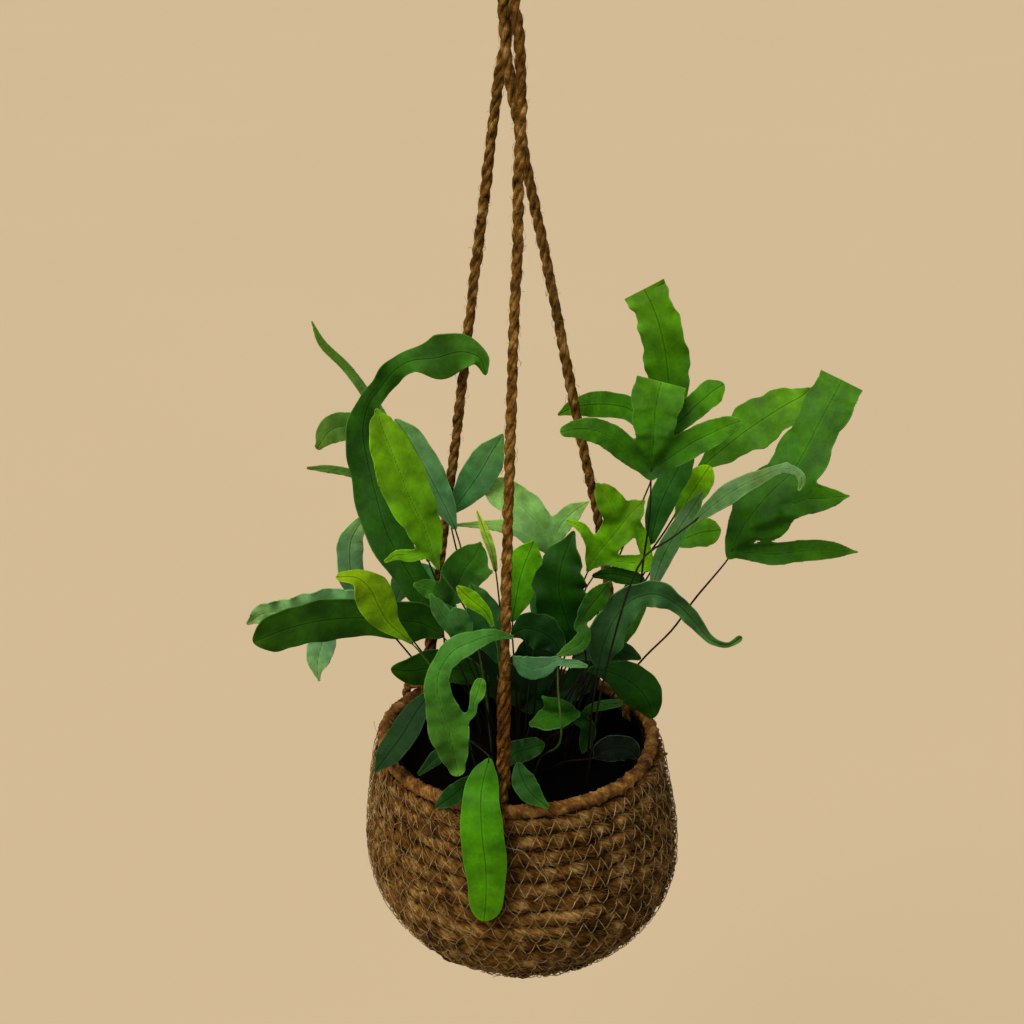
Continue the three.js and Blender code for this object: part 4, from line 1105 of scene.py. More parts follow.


# The colours of fronds deep among the others, such as inner_round, inner_dark, centre_wide, centre_arch,
# front_curl, front_rim_left and rim_left_low, are darkened as painted shade.
FRONDS = [
    frond("left_arch", "#326416", [
        (441, 624, 6, 3), (428, 602, 8, 12), (408, 572, 10, 18), (388, 535, 16, 20), (375, 492, 26, 21),
        (367, 458, 30, 21), (363, 430, 30, 16), (369, 404, 28, 12), (381, 387, 25, 11), (394, 371, 21, 11),
        (411, 361, 17, 12), (436, 358, 12, 21), (462, 352, 9, 17), (480, 358, 8, 10), (486, 375, 8, 2),
    ], roll=14, wave=(2.4, 5), root=(-17, 14), stem=[(450, 668, 18)]),
    frond("left_bright", "#5d9212", [
        (438, 568, -40, 2), (432, 550, -38, 9), (424, 527, -35, 18), (411, 500, -31, 22),
        (394, 457, -23, 23), (382, 427, -14, 12), (377, 410, -10, 2),
    ], roll=-12, wave=(1.4, 3), stem=[(469, 616, -30)], lobes=[
        lobe(0.16, [(412, 556, 2, 6), (398, 555, 1, 5), (386, 561, -2, 2)]),
    ]),
    frond("left_back", "#4a7426", [
        (428, 560, 22, 2), (408, 505, 34, 10), (392, 450, 50, 10), (376, 410, 62, 7), (362, 388, 70, 5),
        (345, 366, 77, 4.5), (322, 343, 78, 4), (312, 322, 79, 1),
    ], lobes=[
        lobe(0.34, [(362, 428, 0, 12), (345, 426, -2, 14), (330, 431, -4, 13), (319, 446, -8, 4)]),
        lobe(0.22, [(375, 484, 0, 5), (350, 473, 0, 4), (328, 469, 0, 4), (308, 468, 1, 1.5)]),
    ]),
    frond("left_grey", "#81b673", [
        (364, 602, 46, 3), (353, 582, 46, 12), (350, 560, 47, 13), (351, 541, 48, 12.5), (358, 527, 48, 8),
        (367, 514, 48, 3),
    ], roll=20),
    frond("left_lime", "#7fae22", [
        (413, 644, -34, 1.5), (400, 633, -36, 6), (388, 622, -38, 12), (378, 605, -42, 19),
        (370, 589, -45, 18), (357, 578, -48, 9), (336, 577, -52, 4),
    ], roll=15, fold=12),
    frond("left_dark", "#2b560e", [
        (444, 637, -8, 4), (424, 624, -8, 18), (393, 620, -10, 18), (355, 618, -14, 19),
        (320, 621, -18, 20), (290, 628, -22, 20), (268, 636, -25, 16), (253, 642, -28, 9),
    ], roll=-28, wave=(1.2, 3)),
    frond("left_wavy", "#71a264", [
        (400, 626, 24, 3), (370, 608, 26, 10), (345, 601, 27, 12), (320, 603, 28, 12), (300, 607, 28, 11),
        (280, 611, 28, 10), (262, 614, 28, 9), (248, 623, 28, 2),
    ], roll=24, wave=(2.6, 6), lobes=[
        lobe(0.36, [(323, 640, -2, 13), (319, 655, -4, 13), (317, 668, -6, 6), (319, 680, -8, 1.5)]),
    ]),
    frond("left_blue", "#629b5c", [
        (456, 530, 6, 2), (448, 512, 8, 9), (437, 490, 10, 14), (423, 464, 12, 16), (408, 437, 14, 13),
        (395, 419, 15, 3),
    ], roll=-16),
    frond("mid_ovate", "#62a15a", [
        (450, 514, 24, 3), (463, 497, 24, 12), (480, 473, 22, 18), (492, 452, 21, 14), (503, 434, 20, 2),
    ], roll=18),
    frond("mid_young", "#9cc04b", [
        (496, 572, 4, 2), (492, 552, 4, 4), (485, 532, 5, 4.5), (477, 511, 7, 1),
    ], wave=(0.8, 5)),
    frond("mid_dark", "#3c7420", [
        (452, 602, -10, 4), (457, 586, -10, 16), (464, 570, -9, 20), (474, 557, -7, 13), (480, 544, -5, 2),
    ], roll=-20, lobes=[
        lobe(0.45, [(478, 573, 0, 9), (491, 572, 0, 2)]),
        lobe(0.15, [(440, 594, -8, 8), (428, 588, -10, 9), (416, 585, -12, 3)]),
    ]),
    frond("mid_lime", "#6ea51c", [
        (494, 628, -52, 1.5), (486, 612, -52, 5), (472, 600, -51, 8.5), (463, 592, -50, 6),
        (457, 586, -48, 2),
    ], roll=-25),
    frond("front_droop", "#467f2a", [
        (512, 637, -78, 2), (493, 635, -82, 6), (474, 641, -85, 10), (455, 650, -86, 12),
        (442, 666, -86, 11), (437, 684, -86, 12), (441, 706, -84, 16), (448, 728, -79, 19),
        (453, 750, -75, 16), (457, 768, -71, 8),
    ], roll=-12, wave=(1.2, 4), stem=[(524, 640, -64)], lobes=[
        lobe(0.78, [(471, 714, -3, 4), (474, 702, -5, 4.5), (478, 692, -6, 7.5), (480, 684, -6, 6)]),
    ]),
    frond("rim_left", "#25500f", [
        (490, 682, 8, 3), (471, 673, 7, 12), (450, 668, 6, 15), (430, 668, 5, 18), (410, 671, 3, 13),
        (391, 669, 0, 5),
    ], roll=-34),
    frond("rim_left_low", "#0f3405", [
        (434, 690, -34, 3), (419, 708, -42, 11), (401, 737, -52, 14), (386, 757, -58, 11),
        (375, 772, -62, 2),
    ], roll=22),
    frond("inner_left", "#1d3f1c", [(452, 744, -46, 2), (437, 757, -52, 7), (418, 775, -56, 2)], roll=-20),
    frond("front_hanging", "#468410", [
        (490, 758, -78, 3), (485, 774, -85, 13), (481, 797, -98, 19), (482, 832, -107, 21),
        (486, 870, -108, 21), (486, 903, -107, 17), (484, 921, -106, 12),
    ], roll=8, fold=8, wave=(0.8, 2), stem=[(470, 741, -60)]),
    frond("front_rim_left", "#123707", [
        (476, 775, -74, 3), (462, 788, -86, 9), (448, 799, -94, 9), (436, 807, -98, 3),
    ], roll=12),
    frond("front_rim_right", "#1d480f", [
        (518, 762, -82, 3), (522, 778, -88, 11), (531, 793, -94, 11), (549, 808, -100, 2),
    ], roll=16, root=(2, -47)),
    frond("front_curl", "#153b07", [
        (506, 765, -52, 4), (514, 754, -49, 12), (525, 750, -46, 11), (537, 746, -44, 9),
        (545, 744, -42, 3),
    ], roll=-20),
    frond("front_folded", "#2c5f14", [
        (577, 714, -40, 3), (562, 715, -46, 11), (548, 719, -49, 11), (532, 724, -52, 3),
    ], roll=-45, lobes=[
        lobe(0.1, [(565, 708, -9, 6), (555, 706, -10, 8), (543, 697, -11, 1.5)]),
    ]),
    frond("front_cross", "#4f8a50", [
        (556, 660, -62, 3), (545, 666, -65, 9), (531, 668, -67, 11), (519, 662, -68, 6),
        (514, 657, -68, 1.5),
    ], roll=24, stem=[(558, 690, -60), (560, 742, -54)], lobes=[
        lobe(0.02, [(566, 663, 0, 4), (577, 664, 1, 4), (586, 666, 2, 2)]),
    ]),
    frond("rim_right", "#22550f", [
        (588, 669, -22, 2), (605, 671, -20, 9), (622, 677, -16, 17), (638, 688, -10, 20),
        (648, 702, -4, 16), (653, 718, 2, 5),
    ], roll=20, fold=10, root=(29, -16)),
    frond("right_curly", "#3a6432", [
        (598, 668, -50, 6), (603, 646, -51, 17), (614, 620, -49, 17), (632, 600, -48, 14),
        (655, 594, -47, 13), (678, 605, -46, 9), (695, 622, -45, 7), (711, 640, -46, 4),
        (728, 645, -45, 2.5), (742, 637, -42, 3.5),
    ], roll=26, fold=-14, wave=(2.4, 6), root=(44, -28)),
    frond("centre_dark", "#194407", [
        (577, 648, -20, 8), (566, 618, -22, 25), (559, 588, -23, 26), (563, 560, -22, 19),
        (574, 531, -16, 2),
    ], roll=-24, fold=-10, wave=(2.6, 4)),
    frond("centre_lobed", "#5a9210", [
        (588, 570, 4, 2), (596, 556, 3, 10), (607, 543, 2, 14), (620, 527, 1, 15), (632, 512, 3, 11),
        (644, 501, 6, 1.5),
    ], roll=14, wave=(1, 3), lobes=[
        lobe(0.6, [(615, 511, -1, 13), (607, 497, 0, 12), (598, 485, 2, 2.5)]),
        lobe(0.16, [(590, 542, 2, 5), (582, 528, 4, 5), (568, 521, 7, 2)]),
        lobe(0.14, [(612, 561, -4, 5), (640, 564, -6, 8), (666, 569, -8, 1)]),
        lobe(0.72, [(640, 532, -2, 6), (645, 548, -3, 6), (652, 562, -4, 2)]),
    ]),
    frond("hand", "#3f780e", [
        (651, 473, -22, 3), (652, 455, -26, 10), (654, 437, -28, 18), (655, 414, -28, 21.5),
        (658, 396, -24, 25), (661.5, 382, -15, 24.5),
    ], cut=True, wave=(1.2, 4), stem=[(650, 510, -20), (644, 556, -18), (634, 610, -14)], lobes=[
        lobe(0.02, [
            (632, 456, -2, 11), (612, 438, -5, 13), (593, 430, -8, 12), (576, 429, -11, 9),
            (566, 431, -13, 6),
        ]),
        lobe(0.02, [
            (672, 456, -2, 12), (692, 443, -5, 14.5), (712, 433, -8, 13), (727, 426, -11, 10),
            (735, 423, -13, 6),
        ]),
        lobe(0.35, [
            (634, 412, 14, 11), (612, 405, 32, 13), (588, 405, 50, 12), (570, 409, 60, 7),
            (558, 415, 64, 1.5),
        ]),
        lobe(0.35, [(684, 417, 8, 11), (698, 404, 12, 12.5), (712, 392, 17, 13), (724, 384, 20, 8)]),
    ]),
    frond("top_tall", "#4f8a18", [
        (664, 420, 30, 3), (669, 398, 30, 16), (668, 373, 29, 22), (665, 350, 27, 22), (659, 324, 26, 21),
        (652, 305, 28, 19.5), (644, 289, 32, 22),
    ], roll=-15, cut=True, wave=(1.2, 4), stem=[(659, 480, 26), (640, 560, 18)]),
    frond("right_tall", "#346808", [
        (730, 556, -12, 3), (738, 536, -14, 12), (753, 513, -15, 22), (771, 492, -12, 25),
        (791, 473, -10, 23.5), (806, 449, -6, 25.5), (820, 421, 0, 22), (834, 396, 6, 24),
        (842, 380, 12, 22),
    ], roll=18, cut=True, wave=(1.4, 4), stem=[(694, 600, -10), (672, 630, -9), (643, 659, -8)], lobes=[
        lobe(0.03, [
            (755, 553, 0, 9), (778, 554, 1, 11), (800, 551, 2, 10.5), (830, 550, 4, 9), (857, 552, 5, 1),
        ]),
        lobe(0.3, [(790, 504, -4, 14), (808, 499, -7, 15), (828, 498, -8, 10.5), (849, 496, -9, 1)]),
        lobe(0.16, [(768, 531, 0, 9), (781, 527, -1, 7), (791, 521, -2, 1.5)]),
    ]),
    frond("right_broad", "#548c20", [
        (698, 470, 41, 3), (716, 455, 39, 12), (738, 437, 38, 20), (762, 420, 37, 24), (786, 405, 36, 18),
        (802, 396, 34, 10), (811, 388, 32, 2),
    ], roll=-12, wave=(1.6, 4), root=(34, 37), stem=[(672, 520, 48)]),
    frond("right_curved", "#5a8048", [
        (696, 520, -38, 3), (710, 508, -40, 7), (727, 495, -41, 10), (745, 484, -42, 9), (765, 475, -41, 6),
        (787, 464, -40, 1),
    ], roll=30, fold=-16, root=(42, -51), stem=[(666, 542, -50), (644, 557, -60)], lobes=[
        lobe(0.84, [(786, 469, -2, 4), (797, 472, -3, 4), (802, 480, -4, 4), (799, 490, -4, 1.5)]),
    ]),
    frond("right_round", "#569505", [
        (666, 541, 12, 3), (683, 539, 12, 9), (700, 533, 11, 14), (713, 531, 10, 13), (721, 530, 9, 9),
    ], roll=-24),
    frond("right_blue", "#3f7c2c", [
        (650, 545, 14, 4), (657, 515, 16, 12), (667, 490, 18, 14), (679, 467, 20, 14), (690, 447, 20, 8),
    ], roll=16),
    frond("right_lime", "#80c728", [
        (676, 530, 22, 3), (686, 503, 27, 10), (698, 484, 30, 14), (710, 466, 31, 10),
    ]),
    frond("right_strap", "#39652a", [
        (652, 590, -13, 3), (661, 562, -12, 9), (675, 535, -12, 9), (692, 509, -11, 8), (703, 492, -11, 2),
    ], roll=-30),
    frond("centre_low", "#24520e", [
        (592, 576, 0, 2), (606, 574, 0, 6), (622, 575, 1, 9), (645, 583, 2, 6),
    ], roll=24),
    frond("mid_lobed", "#82b65e", [
        (553, 551, 20, 3), (541, 529, 21, 14), (521, 506, 24, 17), (500, 492, 27, 14), (484, 489, 29, 3),
    ], roll=-10, wave=(1.2, 3), lobes=[
        lobe(0.03, [(560, 526, 2, 10), (572, 513, 5, 9), (588, 502, 9, 1.5)]),
        lobe(0.03, [(535, 539, -4, 9), (515, 528, -5, 8), (490, 525, -5, 5), (456, 525, -4, 1.5)]),
    ]),
    frond("mid_bright", "#5aa51f", [
        (512, 622, 2, 3), (516, 600, 3, 14), (521, 575, 5, 20), (528, 556, 7, 16), (534, 541, 8, 3),
    ], roll=14),
    frond("centre_arch", "#12380e", [
        (562, 656, -46, 3), (553, 640, -45, 14), (538, 631, -43, 18), (524, 629, -42, 14),
        (511, 635, -41, 3),
    ], roll=-16, wave=(1.6, 3)),
    frond("right_small", "#28550a", [
        (577, 628, -53, 2), (588, 610, -53, 9), (599, 596, -54, 10), (609, 583, -56, 2),
    ], roll=-18, stem=[(586, 660, -49)], lobes=[
        lobe(0.05, [(585, 633, -5, 6), (580, 643, -7, 8), (569, 650, -9, 6), (558, 655, -11, 1.5)]),
    ]),
    frond("inner_round", "#031003", [
        (594, 758, -46, 3), (602, 752, -46, 11), (616, 748, -45, 13), (630, 750, -44, 11),
        (638, 758, -43, 4),
    ], roll=12),
    frond("inner_twin", "#193e09", [
        (577, 722, -16, 1.5), (590, 709, -21, 4), (605, 705, -25, 5), (619, 703, -27, 4),
    ], roll=20, root=(11, -2), lobes=[
        lobe(0.05, [(588, 727, -3, 7), (586, 742, -3, 7), (583, 752, -3, 2)]),
    ]),
    frond("mid_leaflet", "#37682a", [
        (458, 641, -42, 2), (449, 625, -42, 7), (439, 609, -41, 8), (431, 595, -39, 2),
    ], lobes=[
        lobe(0.05, [(466, 628, -1, 7), (460, 617, -2, 8), (455, 609, -2, 2)]),
    ]),
    frond("mid_shade", "#34682e", [
        (501, 664, -28, 4), (493, 641, -30, 15), (485, 618, -31, 18), (477, 597, -30, 12),
        (471, 584, -29, 2),
    ], roll=15),
    frond("centre_wide", "#103205", [
        (572, 658, -40, 3), (592, 651, -40, 10), (612, 650, -40, 11), (628, 653, -40, 8),
        (641, 659, -40, 2),
    ], roll=-24),
    frond("right_behind", "#275206", [
        (604, 658, 0, 3), (616, 640, 2, 10), (630, 619, 4, 11), (644, 599, 6, 6),
    ], roll=15),
    frond("inner_dark", "#0b2c08", [
        (536, 708, 46, 3), (532, 696, 46, 17), (531, 682, 47, 26), (535, 666, 48, 25), (540, 650, 49, 14),
        (545, 634, 50, 3),
    ], roll=-8, wave=(2, 3), lobes=[
        lobe(0.2, [(508, 686, 1, 17), (490, 674, 1, 18), (474, 664, 1, 15), (460, 658, 2, 3)]),
        lobe(0.2, [(562, 692, 1, 13), (580, 680, 1, 15), (592, 664, 1, 12), (596, 650, 2, 3)]),
    ]),
    frond("back_centre", "#2d6420", [
        (535, 640, 40, 2), (540, 605, 62, 10), (545, 585, 90, 16), (548, 600, 118, 17), (549, 640, 138, 14),
        (548, 690, 150, 2),
    ], wave=(1.6, 4)),
    frond("back_left", "#386f35", [
        (464, 640, 44, 2), (446, 600, 70, 8), (424, 578, 96, 14), (404, 584, 118, 14), (394, 606, 132, 2),
    ]),
    frond("back_right", "#2d6420", [
        (600, 650, 30, 2), (618, 668, 60, 9), (632, 682, 90, 13), (640, 694, 112, 12), (644, 710, 125, 2),
    ]),
    frond("back_top", "#3b7219", [
        (655, 470, 60, 3), (658, 440, 82, 15), (660, 410, 102, 17), (662, 388, 116, 10), (663, 384, 128, 2),
    ], wave=(1.6, 3)),
]
print("fronds:", len(FRONDS))

# %% Roots
SOIL_Z = -0.024
SOIL_MOUND = 0.005
STEM_SEAT = 0.014
STEM_R = 0.00115
STEM_SIDES = 7
STEM_TOP = 0.42
STEM_GAIN = 0.16
ROOT_SPREAD = 0.42
ROOT_REACH = 0.062
ROOT_APART = 0.0056


def root_of(spec):
    """Where a frond's stem stands in the soil, under its blade's base."""
    if spec["root"]:
        return np.array(spec["root"], float) * MM
    first = seen(*spec["route"][0][:3])
    last = seen(*spec["stem"][-1]) if spec["stem"] else first
    place = (first[:2] + last[:2]) * ROOT_SPREAD / 2
    reach = np.linalg.norm(place)
    return place * min(1, ROOT_REACH / reach)


def spread(places):
    """Moves places that are too near each other apart, a little at a time."""
    for _ in range(40):
        for i, a in enumerate(places):
            for b in places[i + 1 :]:
                between = b - a
                near = ROOT_APART - np.linalg.norm(between)
                if near > 0:
                    between *= near / 2 / np.linalg.norm(between)
                    a -= between
                    b += between
    return places


ROOTS = spread([root_of(spec) for spec in FRONDS])
print("the widest root stands", round(max(float(np.linalg.norm(root)) for root in ROOTS), 4), "m out")

# %% Laying a blade
BLADE_THICK = 0.00055
LEAST_HALF = 0.0007
CALM_HALF = 0.006
CELL_PX = 1.5
EASE_PX = 2.2
BEHIND = 6  # a lobe that starts at least this many millimetres back is a layer of its own
CREASE = 0.0006  # how deep the blade is folded along its midrib
CREASE_REACH = 0.16
FRILL = 0.45 * MM
SLOW_EDGE = 0.045
FAST_EDGE = 0.02
MOST_WAVE = 1.8


def half_at(halves, shares):
    """Half widths read at shares of the route's points, eased between them."""
    halves = np.asarray(halves, float)
    at = np.clip(shares, 0, 1) * (len(halves) - 1)
    i = np.minimum(at.astype(int), len(halves) - 2)
    a, b, c, d = (halves[np.clip(i + k, 0, len(halves) - 1)] for k in (-1, 0, 1, 2))
    t = at - i
    eased = b + 0.5 * t * (c - a + t * (2 * a - 5 * b + 4 * c - d + t * (3 * (b - c) + d - a)))
    return np.maximum(eased, np.minimum(b, c))


def pixel_size(places):
    """Metres per pixel at places in the part."""
    return (places - EYE) @ FORWARD / FOCAL_PX


def lift_at(spec, share, side, half, phase):
    """How far a place on a blade lies away from the viewer, beyond its midrib."""
    out = np.abs(side)
    turn = np.tan(np.radians(side * spec["roll"] + out * spec["fold"]))
    calm = np.minimum(1, half / CALM_HALF)
    height, ripples = spec["wave"]
    ripple = np.sin(2 * math.pi * ripples * share + phase + side * 1.1)
    frill = np.sin(2 * math.pi * (1.6 * ripples + 1.5) * share + 2 * phase + side * 0.7)
    crease = CREASE * calm * np.exp(-((out / CREASE_REACH) ** 2))
    return half * turn + calm * (out**1.3 * height * MM * ripple + FRILL * out**3 * frill) + crease


def edge_wave(spec, share, half, phase):
    """How much wider or narrower a blade's edge runs than its plain width, in gentle waves."""
    calm = np.minimum(1, half / CALM_HALF)
    ripples = spec["wave"][1]
    slow = np.sin(2 * math.pi * (0.9 * ripples + 0.6) * share + 1.3 * phase)
    fast = np.sin(2 * math.pi * (2.1 * ripples + 1.2) * share + 2.1 * phase)
    return 1 + calm * (SLOW_EDGE * slow + FAST_EDGE * fast) * min(spec["wave"][0], MOST_WAVE)


def main_line(spec):
    """The midrib's points in the part and its half widths in pixels."""
    places = [seen(*point[:3]) for point in spec["route"]]
    return np.array(places), [point[3] for point in spec["route"]]


def lobe_line(part, main):
    """A lobe's points, from its start on the main midrib, and its half widths."""
    start = smooth_way(main, [part["at"]])[0]
    deep = start[1] / MM
    places = [seen(x, y, deep + behind) for x, y, behind, _ in part["route"]]
    halves = [point[3] for point in part["route"]]
    return np.array([start, *places]), [max(2, halves[0] * 0.6), *halves]


# %% A plain blade as a strip
STRIP_SIDES = np.sin(np.linspace(-0.5, 0.5, 11) * math.pi)
ROWS_A_POINT = 7
STEP = 1e-3
TIP_REACH = 1.4  # a tip is rounded over this many of its half widths


def strip_sheet(places, halves, spec, phase):
    """Rows across a blade: places, faces, and how far each place is from the midrib and the edge."""
    shares = np.linspace(0, 1, ROWS_A_POINT * len(places))
    shares = np.unique(np.concatenate([shares, 1 - (1 - np.cos(np.linspace(0, 1.5, 7))) * 0.06]))
    mid = smooth_way(places, shares)
    ahead, behind = np.minimum(shares + STEP, 1), np.maximum(shares - STEP, 0)
    tangent = smooth_way(places, ahead) - smooth_way(places, behind)
    away = mid - EYE
    away /= np.linalg.norm(away, axis=1)[:, None]
    left = np.cross(tangent, away)
    left /= np.linalg.norm(left, axis=1)[:, None]
    half = np.maximum(half_at(halves, shares) * pixel_size(mid), LEAST_HALF)
    run = run_along(mid)
    half = half * edge_wave(spec, shares, half, phase)
    ends = [(run, half[0])]
    if not spec["cut"]:
        ends.append((run[-1] - run, half[-1]))
    for from_end, size in ends:
        near = np.clip(1 - from_end / (TIP_REACH * size), 0, 0.985)
        half = half * np.sqrt(1 - near**2)
    sheet = []
    for side in STRIP_SIDES:
        lift = lift_at(spec, shares, side, half, phase)
        sheet.append(mid - left * (side * half)[:, None] + away * lift[:, None])
    sheet = np.stack(sheet, axis=1)
    wide = len(STRIP_SIDES)
    faces = []
    for i in range(len(shares) - 1):
        for j in range(wide - 1):
            a = i * wide + j
            faces.append((a, a + wide, a + wide + 1, a + 1))
    rib = np.abs(STRIP_SIDES)[None, :] * half[:, None]
    edge = half[:, None] - rib
    along = np.repeat(run[:, None], wide, axis=1)
    grade = np.repeat(shares[:, None], wide, axis=1)
    marks = {"rib": rib, "edge": edge, "along": along, "grade": grade}
    return sheet.reshape(-1, 3), faces, {key: values.ravel() for key, values in marks.items()}


print("strip:", len(STRIP_SIDES), "places across")

# %% A lobed blade as a field
STEPS_A_POINT = 26
MARGIN_PX = 6


def field_of(grid, places, halves, spec, phase):
    """How far inside this lobe each pixel of the grid is, and its range, rib distance, run and share."""
    shares = np.linspace(0, 1, STEPS_A_POINT * len(places))
    mid = smooth_way(places, shares)
    seen_mid = to_pixels(mid)
    half = np.maximum(half_at(halves, shares), 1.0)
    half = half * edge_wave(spec, shares, half * pixel_size(mid), phase)
    gaps = grid[:, None, :] - seen_mid[None, :, :]
    apart = np.linalg.norm(gaps, axis=2)
    best = np.argmax(half[None, :] - apart, axis=1)
    inside = half[best] - apart[np.arange(len(grid)), best]
    way = np.gradient(seen_mid, axis=0)
    way /= np.linalg.norm(way, axis=1)[:, None] + 1e-9
    gap = gaps[np.arange(len(grid)), best]
    if spec["cut"]:
        end_way = seen_mid[-1] - seen_mid[-8]
        past_end = (grid - seen_mid[-1]) @ (end_way / np.linalg.norm(end_way))
        inside = np.where(best > len(shares) * 0.8, np.minimum(inside, -past_end), inside)
    across = gap[:, 0] * way[best, 1] - gap[:, 1] * way[best, 0]
    side = np.clip(across / half[best], -1.15, 1.15)
    size = pixel_size(mid)[best]
    span = np.linalg.norm(mid - EYE, axis=1)[best]
    lift = lift_at(spec, shares[best], side, half[best] * size, phase)
    run = run_along(mid)
    return inside, span + lift, np.abs(across) * size, run[best], size, shares[best]


def smoothed(values, mask, passes):
    """Values on a grid, each averaged with its neighbours inside the mask."""
    weight = mask.astype(float)
    for _ in range(passes):
        total = np.zeros_like(values)
        share = np.zeros_like(values)
        for dx, dy in ((0, 0), (1, 0), (-1, 0), (0, 1), (0, -1)):
            total += np.roll(values * weight, (dx, dy), (0, 1))
            share += np.roll(weight, (dx, dy), (0, 1))
        values = np.where(mask, total / np.maximum(share, 1e-9), values)
    return values


def field_sheet(parts, phase):
    """One smooth leaf from a main blade and its lobes, as places, faces and marks."""
    pixels = np.vstack([to_pixels(places) for places, _, _ in parts])
    room = max(max(halves) for _, halves, _ in parts) + MARGIN_PX
    low = pixels.min(axis=0) - room
    high = pixels.max(axis=0) + room
    xs = np.arange(low[0], high[0], CELL_PX)
    ys = np.arange(low[1], high[1], CELL_PX)
    grid = np.stack(np.meshgrid(xs, ys, indexing="ij"), axis=-1)
    flat = grid.reshape(-1, 2)
    fields = [field_of(flat, *part, phase + k) for k, part in enumerate(parts)]
    inside = np.array([f[0] for f in fields])
    top = inside.max(axis=0)
    weight = np.exp(np.clip((inside - top) / EASE_PX, -30, 0))
    whole = top + EASE_PX * np.log(weight.sum(axis=0))
    weight /= weight.sum(axis=0)
    shared = [(weight * np.array([f[k] for f in fields])).sum(axis=0) for k in (1, 2, 3, 5)]
    span, rib, along, grade = shared
    size = fields[0][4]
    shape = grid.shape[:2]
    whole = whole.reshape(shape)
    near = whole > -4 * CELL_PX
    span = smoothed(span.reshape(shape), near, 3)
    grade = smoothed(grade.reshape(shape), near, 8)
    slope = np.stack(np.gradient(whole, CELL_PX), axis=-1)
    steep = np.maximum((slope**2).sum(axis=-1), 0.3)
    step = np.where(whole < 0, -whole / steep, 0)
    moved = grid + slope * np.clip(step, 0, 2 * CELL_PX)[..., None]
    kept = whole >= 0
    cells = kept[:-1, :-1] | kept[1:, :-1] | kept[:-1, 1:] | kept[1:, 1:]
    number = np.full(shape, -1)
    used = np.zeros(shape, bool)
    for dx in (0, 1):
        for dy in (0, 1):
            used[dx : shape[0] - 1 + dx, dy : shape[1] - 1 + dy] |= cells
    number[used] = np.arange(used.sum())
    x, y = moved[..., 0][used], moved[..., 1][used]
    ray = FORWARD + np.outer((x - MIDDLE_PX) / FOCAL_PX, RIGHT) + np.outer((MIDDLE_PX - y) / FOCAL_PX, UP)
    ray /= np.linalg.norm(ray, axis=1)[:, None]
    places = EYE + ray * span[used][:, None]
    faces = []
    for i, j in zip(*np.nonzero(cells)):
        faces.append((number[i, j], number[i + 1, j], number[i + 1, j + 1], number[i, j + 1]))
    flat_used = used.ravel()
    marks = {
        "rib": rib[flat_used],
        "edge": np.maximum(whole.ravel()[flat_used], 0) * size[flat_used],
        "along": along[flat_used],
        "grade": grade[used],
    }
    return places, faces, marks


print("field: one cell every", CELL_PX, "pixels")


# %% Thickness and stem
def thickened(places, faces, marks, thick):
    """A sheet of places made into a closed thin body, alike on both faces."""
    faces = np.array(faces)
    normal = np.zeros_like(places)
    corner = places[faces]
    face_normal = np.cross(corner[:, 2] - corner[:, 0], corner[:, 3] - corner[:, 1])
    for k in range(4):
        np.add.at(normal, faces[:, k], face_normal)
    normal /= np.linalg.norm(normal, axis=1)[:, None] + 1e-12
    count = len(places)
    body = np.vstack([places + normal * thick / 2, places - normal * thick / 2])
    pairs = (pair for face in faces.tolist() for pair in zip(face, face[1:] + face[:1]))
    sides = dict.fromkeys(pairs)
    rim = [(b, a, a + count, b + count) for a, b in sides if (b, a) not in sides]
    whole = faces.tolist() + (faces[:, ::-1] + count).tolist() + rim
    return body, whole, {key: np.concatenate([value, value]) for key, value in marks.items()}


def joined(bodies):
    """Several bodies as one list of places, faces and marks."""
    places = np.vstack([body[0] for body in bodies])
    faces = []
    first = 0
    for body_places, body_faces, _ in bodies:
        faces += [tuple(v + first for v in face) for face in body_faces]
        first += len(body_places)
    marks = {key: np.concatenate([body[2][key] for body in bodies]) for key in bodies[0][2]}
    return places, faces, marks


def stem_body(spec, main, root):
    """A frond's stem from its blade's base down into the soil, a little thinner at the top."""
    soil_top = SOIL_Z + SOIL_MOUND - RIM_DROP
    waypoints = [seen(*point) for point in spec["stem"]]
    start = smooth_way(main, [0.05])[0]
    base = main[0]
    after = waypoints[-1] if waypoints else base
    lean = [root[0] * 0.7 + after[0] * 0.3, root[1] * 0.7 + after[1] * 0.3, (soil_top + after[2]) / 2]
    line = [start, base, *waypoints, np.array(lean), np.array([*root, soil_top + 0.004])]
    way = even_way(line, 14 + 6 * len(waypoints))
    way = np.vstack([way, [*root, SOIL_Z - STEM_SEAT - RIM_DROP]])
    radii = [STEM_R * (STEM_TOP + STEM_GAIN * min(1, i / 6)) for i in range(len(way))]
    places, faces = tube(way, radii, STEM_SIDES)
    faces.append(tuple(range(STEM_SIDES))[::-1])
    faces.append(tuple(range(STEM_SIDES * (len(way) - 1), STEM_SIDES * len(way))))
    return np.array(places), faces


print("blades:", BLADE_THICK, "m thick; stems: up to", round(2 * STEM_R * (STEM_TOP + STEM_GAIN), 5), "m")
